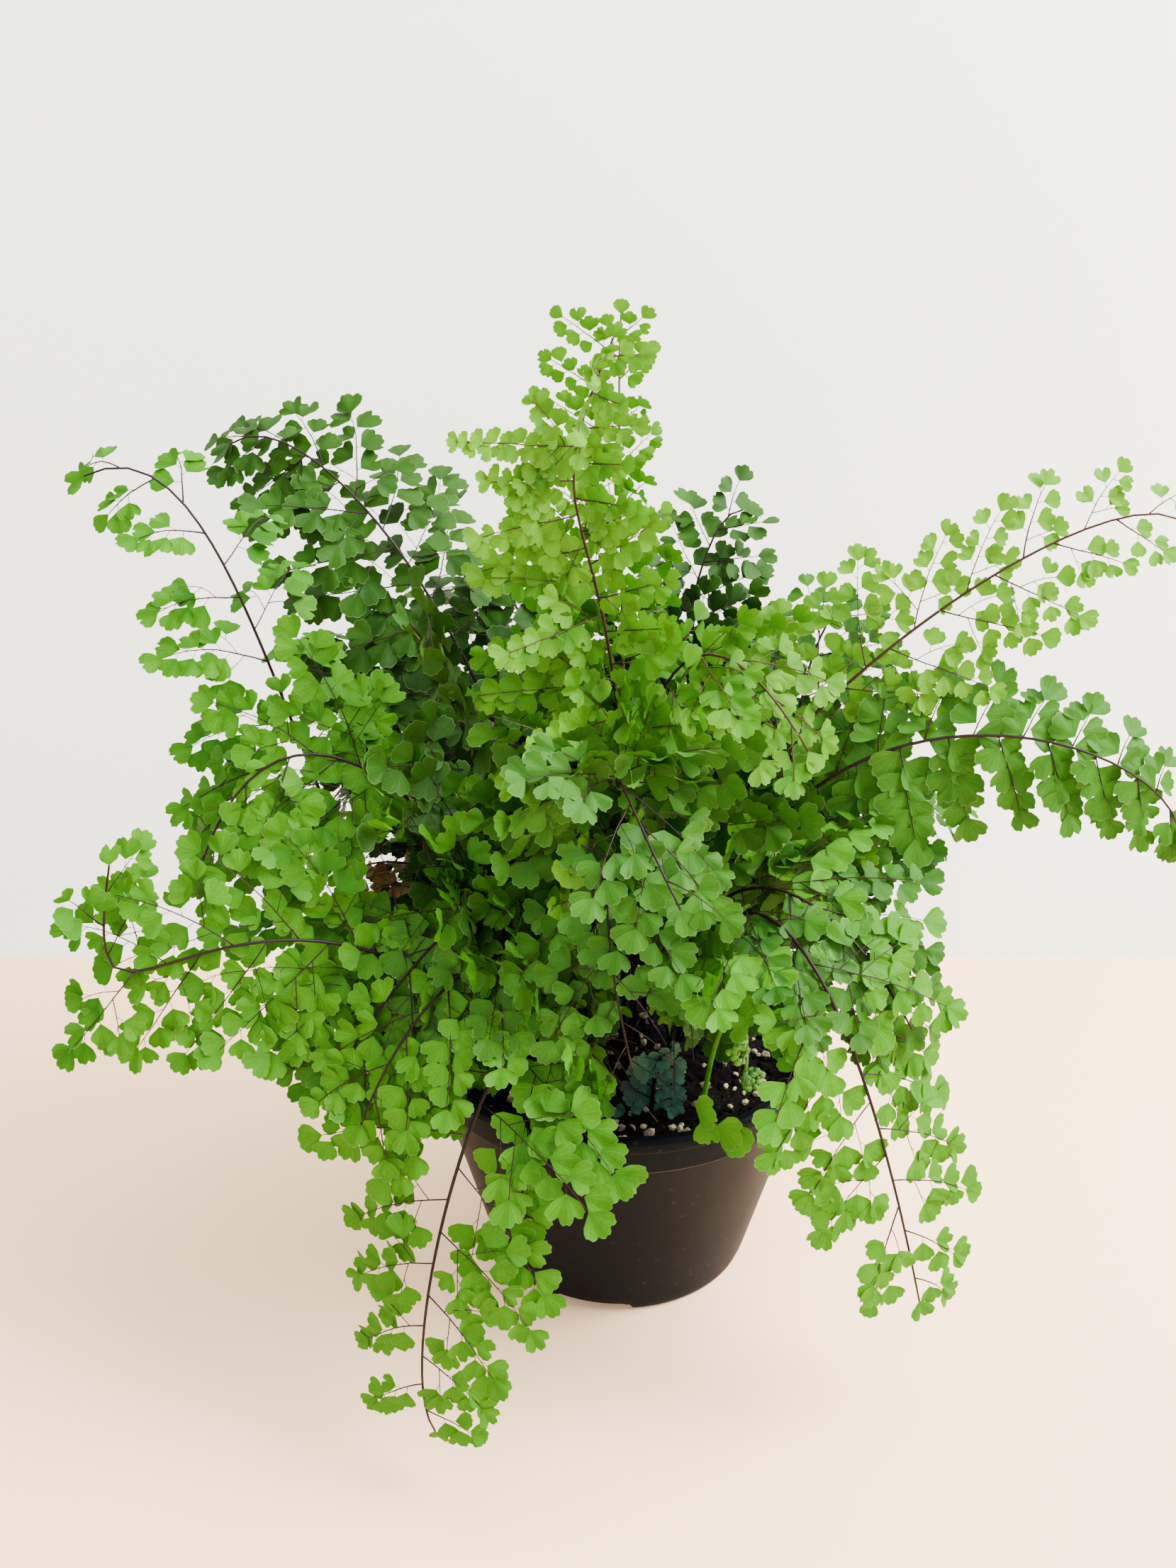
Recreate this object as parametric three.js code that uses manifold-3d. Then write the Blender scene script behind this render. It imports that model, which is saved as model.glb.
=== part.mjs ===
// A maidenhair fern in a round black nursery pot.
// Millimetres, +Z up, -Y is the front. The origin is the centre of the pot's foot, on the surface it stands on.
import * as THREE from 'three';
import { mergeVertices } from 'three/addons/utils/BufferGeometryUtils.js';
import Module from 'manifold-3d';

const wasm = await Module();
wasm.setup();

// Driving dimensions

const pot = {
	height: 100,
	footRadius: 53.3,
	footRound: 4,
	bandStart: 84, // height where the wall steps out under the lip
	bandRadius: 76.2,
	step: 0.9, // how far it steps out there
	flare: 0.5, // how much the band widens up to the lip
	lipStart: 93.5,
	lipRadius: 79,
	lipRound: 1.4,
	wall: 1.6,
	floor: 2,
	sides: 30,
};

const drain = { count: 4, firstHeading: 257, width: 31, height: 4.4, depth: 15 };

const soil = {
	edge: 86, // height at the pot's wall
	crown: 91, // height in the middle
	relief: 1.6, // height of the crumbs
	rings: 3,
};

const fit = 0.35; // gap between pieces that touch
const clearance = 0.45; // least gap between fronds

const stalk = { root: 1.5, tip: 0.85, sides: 3, steps: 8, buried: 12 };

// A branch is a thin arched blade, cut to its rib into fan-shaped leaflets. first, pitch and last are lengths
// along it, in leaflet radii.
const blade = {
	thickness: 0.7,
	sunk: 0.2, // how far its root passes the middle of the stalk
	rootHalf: 0.3, // half its width at the root
	ribHalf: 0.75,
	baseHalf: 0.9, // half the width of a leaflet's base
	first: 0.75, // from the stalk to the first leaflet
	pitch: 0.62, // from one leaflet to the next, which is on the other side
	last: 0.7, // from the last side leaflet to the one at the end
	lean: 62, // of a leaflet off the rib
	fan: [ [ 48, 0.86 ], [ 16, 1.03 ], [ - 4, 0.84 ], [ - 40, 1 ] ], // [degrees off the leaflet's line, radius]
	endFan: [ [ - 46, 0.9 ], [ - 12, 1.04 ], [ 4, 0.84 ], [ 38, 1 ] ],
	arch: 0.16,
	cup: 0.12,
};

// A branch leaves the stalk at this many degrees low down, and at fewer towards the tip
const swing = { low: 62, less: 18 };

// How much one branch differs from the next: degrees of roll, droop and swing, and shares of size
const uneven = { roll: 22, droop: 8, swing: 8, branch: 0.06, leaflet: 0.06 };

// Each stalk is a cubic curve in the upright plane of its heading, in degrees from +X, counter-clockwise from
// above. root is its distance from the pot's axis. rise, bow and tip are [outward, sideways, height]. tip is
// the end of the last leaflet. bare is the share of the stalk below its first branch. branches counts the side
// leaflets of each branch. droop is how far the branches hang, roll turns the leafy plane about the stalk, and
// leaf is a leaflet's radius.
const fronds = [
	{
		name: 'crown_light', tone: 'light', heading: 268, root: 10,
		rise: [ 5, 13, 352 ], bow: [ 19, - 45, 284 ], tip: [ 35, 0, 386 ],
		bare: 0.36, branches: [ 3, 3, 3, 2, 2, 2, 1, 0 ], leaf: 18, droop: 20, roll: 0,
	},
	{
		name: 'crown_young', tone: 'light', heading: 93, root: 10,
		rise: [ 18, - 7, 160 ], bow: [ 26, 5, 374 ], tip: [ 15, 0, 384 ],
		bare: 0.6, branches: [ 2, 2, 1, 1, 0 ], leaf: 14, droop: 0, roll: 0,
	},
	{
		name: 'upper_left', tone: 'dark', heading: 160, root: 29,
		rise: [ 17, - 9, 224 ], bow: [ 143, - 17, 371 ], tip: [ 168, 0, 314 ],
		bare: 0.36, branches: [ 3, 3, 3, 2, 2, 1, 0 ], leaf: 19, droop: 30, roll: - 40,
	},
	{
		name: 'far_left', tone: 'fresh', heading: 182, root: 30,
		rise: [ 133, 7, 115 ], bow: [ 117, 3, 378 ], tip: [ 196, 0, 321 ],
		bare: 0.34, branches: [ 3, 3, 2, 2, 2, 1, 0 ], leaf: 16, droop: 25, roll: - 50,
	},
	{
		name: 'left_middle', tone: 'fresh', heading: 203, root: 29,
		rise: [ 40, - 6, 185 ], bow: [ 126, - 12, 303 ], tip: [ 164, 0, 190 ],
		bare: 0.36, branches: [ 3, 3, 2, 2, 2, 1, 0 ], leaf: 19, droop: 30, roll: - 35,
	},
	{
		name: 'left_low', tone: 'fresh', heading: 204, root: 30,
		rise: [ 152, 35, 286 ], bow: [ 219, - 15, 104 ], tip: [ 191, 0, 229 ],
		bare: 0.36, branches: [ 3, 3, 2, 2, 1, 1, 0 ], leaf: 16, droop: 10, roll: - 70,
	},
	{
		name: 'front_left', tone: 'fresh', heading: 230, root: 26,
		rise: [ 35, 6, 181 ], bow: [ 109, 4, 194 ], tip: [ 145, 0, 120 ],
		bare: 0.38, branches: [ 3, 2, 2, 2, 1, 0 ], leaf: 18, droop: 25, roll: - 15,
	},
	{
		name: 'front_hanging_left', tone: 'fresh', heading: 246, root: 28,
		rise: [ 88, 10, 259 ], bow: [ 185, - 19, 46 ], tip: [ 150, 0, 17 ],
		bare: 0.46, branches: [ 3, 3, 2, 2, 2, 1, 0 ], leaf: 16, droop: 10, roll: 0,
	},
	{
		name: 'front_hanging_right', tone: 'fresh', heading: 314, root: 27,
		rise: [ 40, - 1, 199 ], bow: [ 119, - 33, 258 ], tip: [ 153, 0, 45 ],
		bare: 0.44, branches: [ 3, 2, 2, 2, 1, 1, 0 ], leaf: 15, droop: 10, roll: 15,
	},
	{
		name: 'lower_left', tone: 'mid', heading: 220, root: 26,
		rise: [ 32, 2, 282 ], bow: [ 147, 16, 118 ], tip: [ 145, 0, 137 ],
		bare: 0.4, branches: [ 3, 2, 2, 2, 1, 0 ], leaf: 19, droop: 25, roll: - 20,
	},
	{
		name: 'lower_right', tone: 'mid', heading: 320, root: 25,
		rise: [ 23, - 7, 190 ], bow: [ 93, - 19, 234 ], tip: [ 134, 0, 143 ],
		bare: 0.36, branches: [ 3, 3, 2, 2, 2, 1, 0 ], leaf: 19, droop: 25, roll: 15,
	},
	{
		name: 'right_middle', tone: 'mid', heading: 348, root: 30,
		rise: [ 25, - 7, 288 ], bow: [ 206, - 8, 253 ], tip: [ 202, 0, 198 ],
		bare: 0.42, branches: [ 3, 3, 3, 2, 2, 1, 0 ], leaf: 17, droop: 62, roll: 20,
	},
	{
		name: 'right_high', tone: 'light', heading: 355, root: 30,
		rise: [ - 42, 3, 168 ], bow: [ 169, - 7, 355 ], tip: [ 196, 0, 308 ],
		bare: 0.38, branches: [ 3, 3, 3, 3, 2, 1, 0 ], leaf: 14, droop: 5, roll: 70,
	},
	{
		name: 'right_back', tone: 'dark', heading: 52, root: 20,
		rise: [ 27, 4, 167 ], bow: [ 75, 29, 324 ], tip: [ 93, 0, 289 ],
		bare: 0.42, branches: [ 3, 2, 2, 2, 1, 0 ], leaf: 18, droop: 20, roll: 30,
	},
	{
		name: 'right_inner', tone: 'mid', heading: 20, root: 19,
		rise: [ 72, - 41, 190 ], bow: [ 59, 10, 239 ], tip: [ 95, 0, 275 ],
		bare: 0.4, branches: [ 2, 2, 2, 1, 0 ], leaf: 18, droop: 20, roll: 40,
	},
	{
		name: 'centre_right', tone: 'light', heading: 323, root: 14,
		rise: [ - 20, 14, 129 ], bow: [ 8, - 13, 355 ], tip: [ 84, 0, 232 ],
		bare: 0.4, branches: [ 3, 3, 2, 2, 2, 1, 0 ], leaf: 19, droop: 30, roll: 20,
	},
	{
		name: 'centre_front', tone: 'mid', heading: 279, root: 20,
		rise: [ - 20, 19, 195 ], bow: [ 78, - 42, 298 ], tip: [ 127, 0, 209 ],
		bare: 0.42, branches: [ 3, 3, 2, 2, 2, 1, 0 ], leaf: 20, droop: 20, roll: 0,
	},
	{
		name: 'centre_left', tone: 'dark', heading: 206, root: 16,
		rise: [ 35, - 10, 126 ], bow: [ 60, - 22, 285 ], tip: [ 89, 0, 285 ],
		bare: 0.38, branches: [ 3, 3, 2, 2, 1, 0 ], leaf: 20, droop: 20, roll: - 40,
	},
	{
		name: 'lower_centre', tone: 'mid', heading: 272, root: 22,
		rise: [ - 8, 15, 203 ], bow: [ 86, - 27, 247 ], tip: [ 108, 0, 140 ],
		bare: 0.44, branches: [ 2, 2, 2, 2, 1, 0 ], leaf: 17, droop: 15, roll: 0,
	},
	{
		name: 'back_right_low', tone: 'mid', heading: 28, root: 28,
		rise: [ 30, 0, 190 ], bow: [ 120, - 8, 250 ], tip: [ 152, 0, 150 ],
		bare: 0.38, branches: [ 2, 2, 2, 2, 1, 0 ], leaf: 18, droop: 30, roll: 0,
	},
	{
		name: 'back_right', tone: 'mid', heading: 66, root: 26,
		rise: [ 20, 0, 210 ], bow: [ 110, 6, 280 ], tip: [ 150, 0, 205 ],
		bare: 0.38, branches: [ 2, 2, 2, 2, 1, 0 ], leaf: 18, droop: 30, roll: 0,
	},
	{
		name: 'back_middle', tone: 'fresh', heading: 98, root: 28,
		rise: [ 30, 0, 190 ], bow: [ 130, 10, 230 ], tip: [ 155, 0, 110 ],
		bare: 0.38, branches: [ 2, 2, 2, 2, 1, 0 ], leaf: 18, droop: 25, roll: 0,
	},
	{
		name: 'back_left', tone: 'mid', heading: 122, root: 24,
		rise: [ 22, 0, 215 ], bow: [ 90, - 6, 300 ], tip: [ 140, 0, 240 ],
		bare: 0.38, branches: [ 2, 2, 2, 2, 1, 0 ], leaf: 18, droop: 30, roll: 0,
	},
	{
		name: 'back_left_low', tone: 'dark', heading: 148, root: 30,
		rise: [ 30, 0, 190 ], bow: [ 120, 8, 235 ], tip: [ 158, 0, 140 ],
		bare: 0.38, branches: [ 2, 2, 2, 2, 1, 0 ], leaf: 18, droop: 30, roll: 0,
	},
	{
		name: 'withered', tone: 'withered', heading: 172, root: 36,
		rise: [ 34, 0, 140 ], bow: [ 74, 6, 190 ], tip: [ 112, 0, 160 ],
		bare: 0.5, branches: [ 2, 1, 0 ], leaf: 10, droop: 50, roll: 0,
	},
	{
		name: 'plantlet', tone: 'deep', heading: 283, root: 46,
		rise: [ 48, 0, 108 ], bow: [ 52, 2, 128 ], tip: [ 62, 0, 118 ],
		bare: 0.4, branches: [ 1, 1, 0 ], leaf: 9, droop: 0, roll: 0,
	},
];

// The young frond at the front right, inside the lip: a bent stalk whose three tips are still curled
const young = {
	name: 'young', tone: 'curled', heading: 312, root: 46, leaf: 0,
	rise: [ 52, 0, 146 ], bow: [ 68, 3, 142 ], tip: [ 68, 0, 112 ],
	coils: [ { at: 0.66, side: 1, size: 4.2 }, { at: 0.83, side: - 1, size: 4.2 }, { at: 1, side: 1, size: 5.2 } ],
	turns: 1.2,
	coilSteps: 9,
	coilSides: 4,
	coilRadius: [ 1.2, 0.6 ], // where it starts, and at its inner end
	neck: 5,
};

const finishes = {
	pot: { color: 0x3a3734, roughness: 0.55 },
	soil: { color: 0x241d18, roughness: 0.95 },
	light: { color: 0x8fc34f, roughness: 0.6 },
	fresh: { color: 0x76b045, roughness: 0.6 },
	mid: { color: 0x558f3c, roughness: 0.6 },
	dark: { color: 0x39702f, roughness: 0.6 },
	deep: { color: 0x2f5648, roughness: 0.6 },
	withered: { color: 0x9c7a48, roughness: 0.8 },
	curled: { color: 0xa4c96b, roughness: 0.6 },
};

const degrees = Math.PI / 180;
const upward = new THREE.Vector3( 0, 0, 1 );

// Mulberry generator, so that every build is the same
function seeded( seed ) {

	let state = seed;
	return () => {

		state = ( state + 0x6d2b79f5 ) | 0;
		let t = Math.imul( state ^ ( state >>> 15 ), 1 | state );
		t = ( t + Math.imul( t ^ ( t >>> 7 ), 61 | t ) ) ^ t;
		return ( ( t ^ ( t >>> 14 ) ) >>> 0 ) / 4294967296;

	};

}

const random = seeded( 2711 );
const vary = ( amount ) => ( random() * 2 - 1 ) * amount;

// Solids

function solidFrom( positions, triangles ) {

	return new wasm.Manifold( new wasm.Mesh( {
		numProp: 3,
		vertProperties: new Float32Array( positions.flat() ),
		triVerts: new Uint32Array( triangles.flat() ),
	} ) );

}

function solidOf( geometry ) {

	const bare = geometry.clone();
	bare.deleteAttribute( 'normal' );
	bare.deleteAttribute( 'uv' );
	const merged = mergeVertices( bare, 1e-4 );
	return new wasm.Manifold( new wasm.Mesh( {
		numProp: 3,
		vertProperties: new Float32Array( merged.attributes.position.array ),
		triVerts: new Uint32Array( merged.index.array ),
	} ) );

}

function meshOf( name, solid, finish ) {

	const surface = solid.getMesh();
	const geometry = new THREE.BufferGeometry();
	geometry.setAttribute( 'position', new THREE.Float32BufferAttribute( surface.vertProperties, 3 ) );
	geometry.setIndex( Array.from( surface.triVerts ) );
	const mesh = new THREE.Mesh( geometry, new THREE.MeshStandardMaterial( { ...finish, metalness: 0 } ) );
	mesh.name = name;
	return mesh;

}

// A solid turned round the Z axis, from [radius, height] points that run up the outside and close on the axis
function turned( points, sides ) {

	const lathe = new THREE.LatheGeometry( points.map( ( [ r, z ] ) => new THREE.Vector2( r, z ) ), sides );
	return lathe.rotateX( Math.PI / 2 );

}

// A tapered wire along a list of points. aside is a direction that the wire never runs along.
function wire( points, radii, sides, aside ) {

	const positions = [];
	const triangles = [];
	points.forEach( ( point, i ) => {

		const before = points[ Math.max( i - 1, 0 ) ];
		const after = points[ Math.min( i + 1, points.length - 1 ) ];
		const along = after.clone().sub( before ).normalize();
		const across = aside.clone().addScaledVector( along, - aside.dot( along ) ).normalize();
		const over = along.clone().cross( across );
		for ( let k = 0; k < sides; k ++ ) {

			const turn = 2 * Math.PI * k / sides;
			const corner = point.clone()
				.addScaledVector( across, radii[ i ] * Math.cos( turn ) )
				.addScaledVector( over, radii[ i ] * Math.sin( turn ) );
			positions.push( corner.toArray() );

		}

	} );

	for ( let i = 0; i < points.length - 1; i ++ ) {

		for ( let k = 0; k < sides; k ++ ) {

			const a = i * sides + k;
			const b = i * sides + ( k + 1 ) % sides;
			triangles.push( [ a, b, b + sides ], [ a, b + sides, a + sides ] );

		}

	}

	const end = ( points.length - 1 ) * sides;
	for ( let k = 1; k < sides - 1; k ++ ) {

		triangles.push( [ 0, k + 1, k ], [ end, end + k, end + k + 1 ] );

	}

	return solidFrom( positions, triangles );

}

// Pot: wall, stepped band, rolled lip, flat floor and drainage notches at the foot

function wallRadius( height ) {

	const rise = ( height - pot.footRound ) / ( pot.bandStart - pot.footRound );
	return pot.footRadius + ( pot.bandRadius - pot.step - pot.footRadius ) * rise;

}

function makePot() {

	const { height, footRadius, footRound, bandStart, bandRadius, flare, wall, floor } = pot;
	const { lipStart, lipRadius, lipRound } = pot;
	const outside = [
		[ 0, 0 ],
		[ footRadius - footRound, 0 ],
		[ footRadius, footRound ],
		[ wallRadius( bandStart ), bandStart ],
		[ bandRadius, bandStart ],
		[ bandRadius + flare, lipStart ],
		[ lipRadius, lipStart + lipRound ],
		[ lipRadius, height - lipRound ],
		[ lipRadius - lipRound, height ],
	];
	const inside = [
		[ bandRadius - wall, height ],
		[ bandRadius - wall - flare, lipStart ],
		[ footRadius - wall, floor + footRound ],
		[ footRadius - footRound - wall / 2, floor ],
		[ 0, floor ],
	];
	let body = solidOf( turned( [ ...outside, ...inside ], pot.sides ) );
	for ( let i = 0; i < drain.count; i ++ ) {

		const notch = new THREE.BoxGeometry( drain.depth, drain.width, drain.height * 2 );
		notch.translate( footRadius + 2 - drain.depth / 2, 0, 0 );
		notch.rotateZ( ( drain.firstHeading + i * 360 / drain.count ) * degrees );
		body = body.subtract( solidOf( notch ) );

	}

	return body;

}

// Soil: a plug that fills the pot, with a crumbly top

function soilHeight( radius ) {

	return soil.crown + ( soil.edge - soil.crown ) * ( radius / pot.bandRadius ) ** 2;

}

function makeSoil() {

	const { footRadius, footRound, bandRadius, flare, lipStart, wall, floor } = pot;
	const bottom = floor + fit;
	const slope = ( bandRadius - flare - footRadius ) / ( lipStart - floor - footRound );
	const innerRadius = ( z ) => footRadius - wall + slope * ( z - floor - footRound ) - fit;
	const edgeRadius = innerRadius( soil.edge );
	const profile = [
		[ 0, bottom ],
		[ footRadius - footRound - wall / 2 - fit, bottom ],
		[ innerRadius( floor + footRound ), floor + footRound ],
		[ edgeRadius, soil.edge ],
	];
	for ( let i = 1; i <= soil.rings; i ++ ) {

		const radius = edgeRadius * ( 1 - i / soil.rings );
		profile.push( [ radius, soilHeight( radius ) ] );

	}

	const plug = turned( profile, pot.sides );
	plug.deleteAttribute( 'normal' );
	plug.deleteAttribute( 'uv' );
	const merged = mergeVertices( plug, 1e-4 );
	const place = merged.attributes.position;
	for ( let i = 0; i < place.count; i ++ ) {

		if ( place.getZ( i ) > soil.edge + 0.1 ) place.setZ( i, place.getZ( i ) + vary( soil.relief ) );

	}

	return solidOf( merged );

}

// Fronds

// The curve of a stalk, and the directions of its upright plane
function stalkOf( frond, turn = 0 ) {

	const heading = ( frond.heading + turn ) * degrees;
	const outward = new THREE.Vector3( Math.cos( heading ), Math.sin( heading ), 0 );
	const sideways = new THREE.Vector3( - Math.sin( heading ), Math.cos( heading ), 0 );
	const place = ( [ out, side, up ] ) => new THREE.Vector3()
		.addScaledVector( outward, out )
		.addScaledVector( sideways, side )
		.setZ( up );
	const start = place( [ frond.root, 0, soilHeight( frond.root ) - stalk.buried ] );
	const curve = new THREE.CubicBezierCurve3( start, ...[ frond.rise, frond.bow, frond.tip ].map( place ) );
	const end = 1 - frond.leaf / curve.getLength();
	const shares = Array.from( { length: stalk.steps + 1 }, ( _, i ) => i / stalk.steps );
	const points = shares.map( ( share ) => curve.getPointAt( end * share ) );
	return { curve, points, shares, sideways, end };

}

// A point of the stalk's middle line, on the straight stretch between two of its points
function stalkPoint( { points, end }, at ) {

	const share = Math.min( at / end, 1 ) * stalk.steps;
	const i = Math.min( Math.floor( share ), stalk.steps - 1 );
	return points[ i ].clone().lerp( points[ i + 1 ], share - i );

}

function stalkWire( { points, shares, sideways }, extra = 0 ) {

	const radii = shares.map( ( share ) => extra + stalk.root + ( stalk.tip - stalk.root ) * share );
	return wire( points, radii, stalk.sides, sideways );

}

// Points of a fan-shaped leaflet, [along, across], round its base. side is 1 or -1 across the rib.
function fanPoints( [ s, t ], size, line, edge, side ) {

	return edge.map( ( [ off, reach ] ) => {

		const angle = ( line + off ) * degrees;
		return [ s + size * reach * Math.cos( angle ), side * ( t + size * reach * Math.sin( angle ) ) ];

	} );

}

// Outline of a branch in its own plane, counter-clockwise, with each leaflet cut to the rib
function branchOutline( count, radius ) {

	const { sunk, rootHalf, ribHalf, baseHalf, first, pitch, last, lean, fan, endFan } = blade;
	const end = count === 0 ? 0 : radius * ( first + pitch * ( count - 1 ) + last );
	const edgeOf = ( side ) => {

		const points = [ [ - sunk, side * rootHalf ] ];
		for ( let i = side > 0 ? 1 : 0; i < count; i += 2 ) {

			const at = radius * ( first + pitch * i );
			const size = radius * ( 1 - uneven.leaflet + vary( uneven.leaflet ) );
			points.push( [ at - baseHalf, side * ribHalf ] );
			points.push( ...fanPoints( [ at, ribHalf ], size, lean, fan, side ) );
			points.push( [ at + baseHalf, side * ribHalf ] );

		}

		if ( count > 0 ) points.push( [ end, side * ribHalf ] );
		return points;

	};

	return [ ...edgeOf( - 1 ), ...fanPoints( [ end, 0 ], radius, 0, endFan, 1 ), ...edgeOf( 1 ).reverse() ];

}

// A branch's solid: the outline, split into triangles once and used alike on both faces of the arched blade
function branchBlade( outline, origin, along, across, lift ) {

	const normal = along.clone().cross( across ).normalize();
	const length = Math.max( ...outline.map( ( [ s ] ) => s ) );
	const flat = outline.map( ( [ s, t ] ) => new THREE.Vector2( s, t ) );
	const faces = THREE.ShapeUtils.triangulateShape( flat, [] );
	const half = blade.thickness / 2;
	const positions = [];
	for ( const side of [ half, - half ] ) {

		for ( const [ s, t ] of outline ) {

			const sag = blade.arch * s * s / length + blade.cup * t * t / length;
			const point = origin.clone()
				.addScaledVector( along, s )
				.addScaledVector( across, t )
				.addScaledVector( normal, side - lift * sag );
			positions.push( point.toArray() );

		}

	}

	const n = outline.length;
	const triangles = [];
	for ( const [ a, b, c ] of faces ) {

		triangles.push( [ a, b, c ], [ n + a, n + c, n + b ] );

	}

	for ( let i = 0; i < n; i ++ ) {

		const j = ( i + 1 ) % n;
		triangles.push( [ i, n + i, n + j ], [ i, n + j, j ] );

	}

	return solidFrom( positions, triangles );

}

// Everything placed so far. A new piece stays clear of all of it but the one that it grows from, its owner.

const placed = [];

function remember( solid, owner ) {

	placed.push( { solid, owner, box: solid.boundingBox() } );

}

function isClear( solid, owner ) {

	const { min, max } = solid.boundingBox();
	if ( min[ 2 ] < 1.5 ) return false;
	return placed.every( ( other ) => {

		if ( other.owner === owner ) return true;
		const apart = [ 0, 1, 2 ].some( ( k ) => {

			return min[ k ] > other.box.max[ k ] + clearance || max[ k ] < other.box.min[ k ] - clearance;

		} );
		return apart || solid.minGap( other.solid, clearance ) >= clearance * 0.999;

	} );

}

// How a branch may be bent from its own place to stay clear: [more droop, more swing, share of its size]
const bends = [];
for ( const share of [ 1, 0.85, 0.7 ] ) {

	for ( const droop of [ 0, 12, - 12, 24, - 24, 38, - 38 ] ) {

		for ( const swing of [ 0, 12, - 12, 24 ] ) bends.push( [ droop, swing, share ] );

	}

}

// side is 1 or -1, or 0 for the branch that carries on from the stalk's end
function growBranch( frond, at, side, count, line ) {

	const { curve, sideways } = line;
	const origin = stalkPoint( line, at );
	const tangent = curve.getTangentAt( at );
	const roll = ( frond.roll + vary( uneven.roll ) ) * degrees;
	const lateral = sideways.clone().addScaledVector( tangent, - sideways.dot( tangent ) ).normalize();
	lateral.applyAxisAngle( tangent, roll );
	const top = tangent.clone().cross( lateral );
	const size = frond.leaf * ( 1 + vary( uneven.branch ) );
	const ownDroop = side === 0 ? 0 : frond.droop + vary( uneven.droop );
	const ownSwing = swing.low - swing.less * at + vary( uneven.swing );
	for ( const [ moreDroop, moreSwing, share ] of bends ) {

		const out = side === 0 ? 0 : ( ownSwing + moreSwing ) * degrees;
		const down = ( ownDroop + moreDroop ) * degrees;
		const fall = side === 0 ? Math.sin( down ) : Math.sin( out ) * Math.sin( down );
		const along = tangent.clone().multiplyScalar( Math.cos( out ) )
			.addScaledVector( lateral, Math.sin( out ) * Math.cos( down ) * side )
			.addScaledVector( upward, - fall )
			.normalize();
		const reference = side === 0 ? lateral : tangent;
		const across = reference.clone().addScaledVector( along, - reference.dot( along ) ).normalize();
		const lift = Math.sign( along.clone().cross( across ).dot( top ) ) || 1;
		const solid = branchBlade( branchOutline( count, size * share ), origin, along, across, lift );
		if ( isClear( solid, frond.name + '_stalk' ) ) return solid;

	}

	return null;

}

// A stalk turns its heading a little where another one is in its way
function growStalk( frond ) {

	for ( const turn of [ 0, 2, - 2, 4, - 4, 6, - 6, 9, - 9 ] ) {

		const line = stalkOf( frond, turn );
		const solid = stalkWire( line );
		if ( isClear( solid, 'soil' ) ) {

			remember( solid, frond.name + '_stalk' );
			return { line, solid };

		}

	}

	throw new Error( frond.name + ' has no room for its stalk' );

}

function growFrond( frond, { line, solid } ) {

	let body = solid;
	const { end } = line;
	const count = frond.branches.length;
	frond.branches.forEach( ( leaflets, i ) => {

		const last = i === count - 1;
		const at = last ? end * 0.99 : frond.bare + ( end - frond.bare ) * i / ( count - 1 );
		const side = last ? 0 : ( i % 2 === 0 ? 1 : - 1 );
		const branch = growBranch( frond, at, side, leaflets, line );
		if ( branch === null ) return;

		remember( branch, frond.name );
		body = body.add( branch );

	} );
	return body;

}

// One curled tip: a short neck that winds into a coil, in the plane of the two directions
function curledTip( origin, along, across, size ) {

	const [ outer, inner ] = young.coilRadius;
	const points = [ origin.clone() ];
	const radii = [ outer ];
	const centre = origin.clone().addScaledVector( along, young.neck ).addScaledVector( across, size );
	for ( let i = 0; i <= young.coilSteps; i ++ ) {

		const share = i / young.coilSteps;
		const angle = share * young.turns * 2 * Math.PI;
		const reach = size * ( 1 - 0.62 * share );
		points.push( centre.clone()
			.addScaledVector( along, reach * Math.sin( angle ) )
			.addScaledVector( across, - reach * Math.cos( angle ) ) );
		radii.push( outer + ( inner - outer ) * share );

	}

	return wire( points, radii, young.coilSides, along.clone().cross( across ) );

}

function growYoung( line ) {

	const { curve, sideways } = line;
	let body = stalkWire( line );
	for ( const { at, side, size } of young.coils ) {

		const tangent = curve.getTangentAt( at );
		const along = at === 1 ? tangent : sideways.clone().multiplyScalar( side );
		const across = at === 1 ? sideways.clone().multiplyScalar( side ) : tangent;
		const root = stalkPoint( line, at ).addScaledVector( along, - 0.6 );
		body = body.add( curledTip( root, along, across, size ) );

	}

	return body;

}

// The whole plant, the nearest and most open fronds first
const group = new THREE.Group();

const potSolid = makePot();
remember( potSolid, 'pot' );
group.add( meshOf( 'pot', potSolid, finishes.pot ) );

let soilSolid = makeSoil();
remember( soilSolid, 'soil' );

const youngLine = stalkOf( young );
const youngSolid = growYoung( youngLine );
remember( youngSolid, 'frond_young' );
group.add( meshOf( 'frond_young', youngSolid, finishes.curled ) );

const stalks = fronds.map( ( frond ) => growStalk( frond ) );
fronds.forEach( ( frond, i ) => {

	const body = growFrond( frond, stalks[ i ] );
	group.add( meshOf( 'frond_' + frond.name, body, finishes[ frond.tone ] ) );
	soilSolid = soilSolid.subtract( stalkWire( stalks[ i ].line, fit ) );

} );

soilSolid = soilSolid.subtract( stalkWire( youngLine, fit ) );
group.add( meshOf( 'soil', soilSolid, finishes.soil ) );

export default group;
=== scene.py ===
import math
import random

import bmesh
import bpy
from mathutils import Matrix, Vector, noise
from mathutils.geometry import interpolate_bezier
from mathutils.kdtree import KDTree


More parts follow.
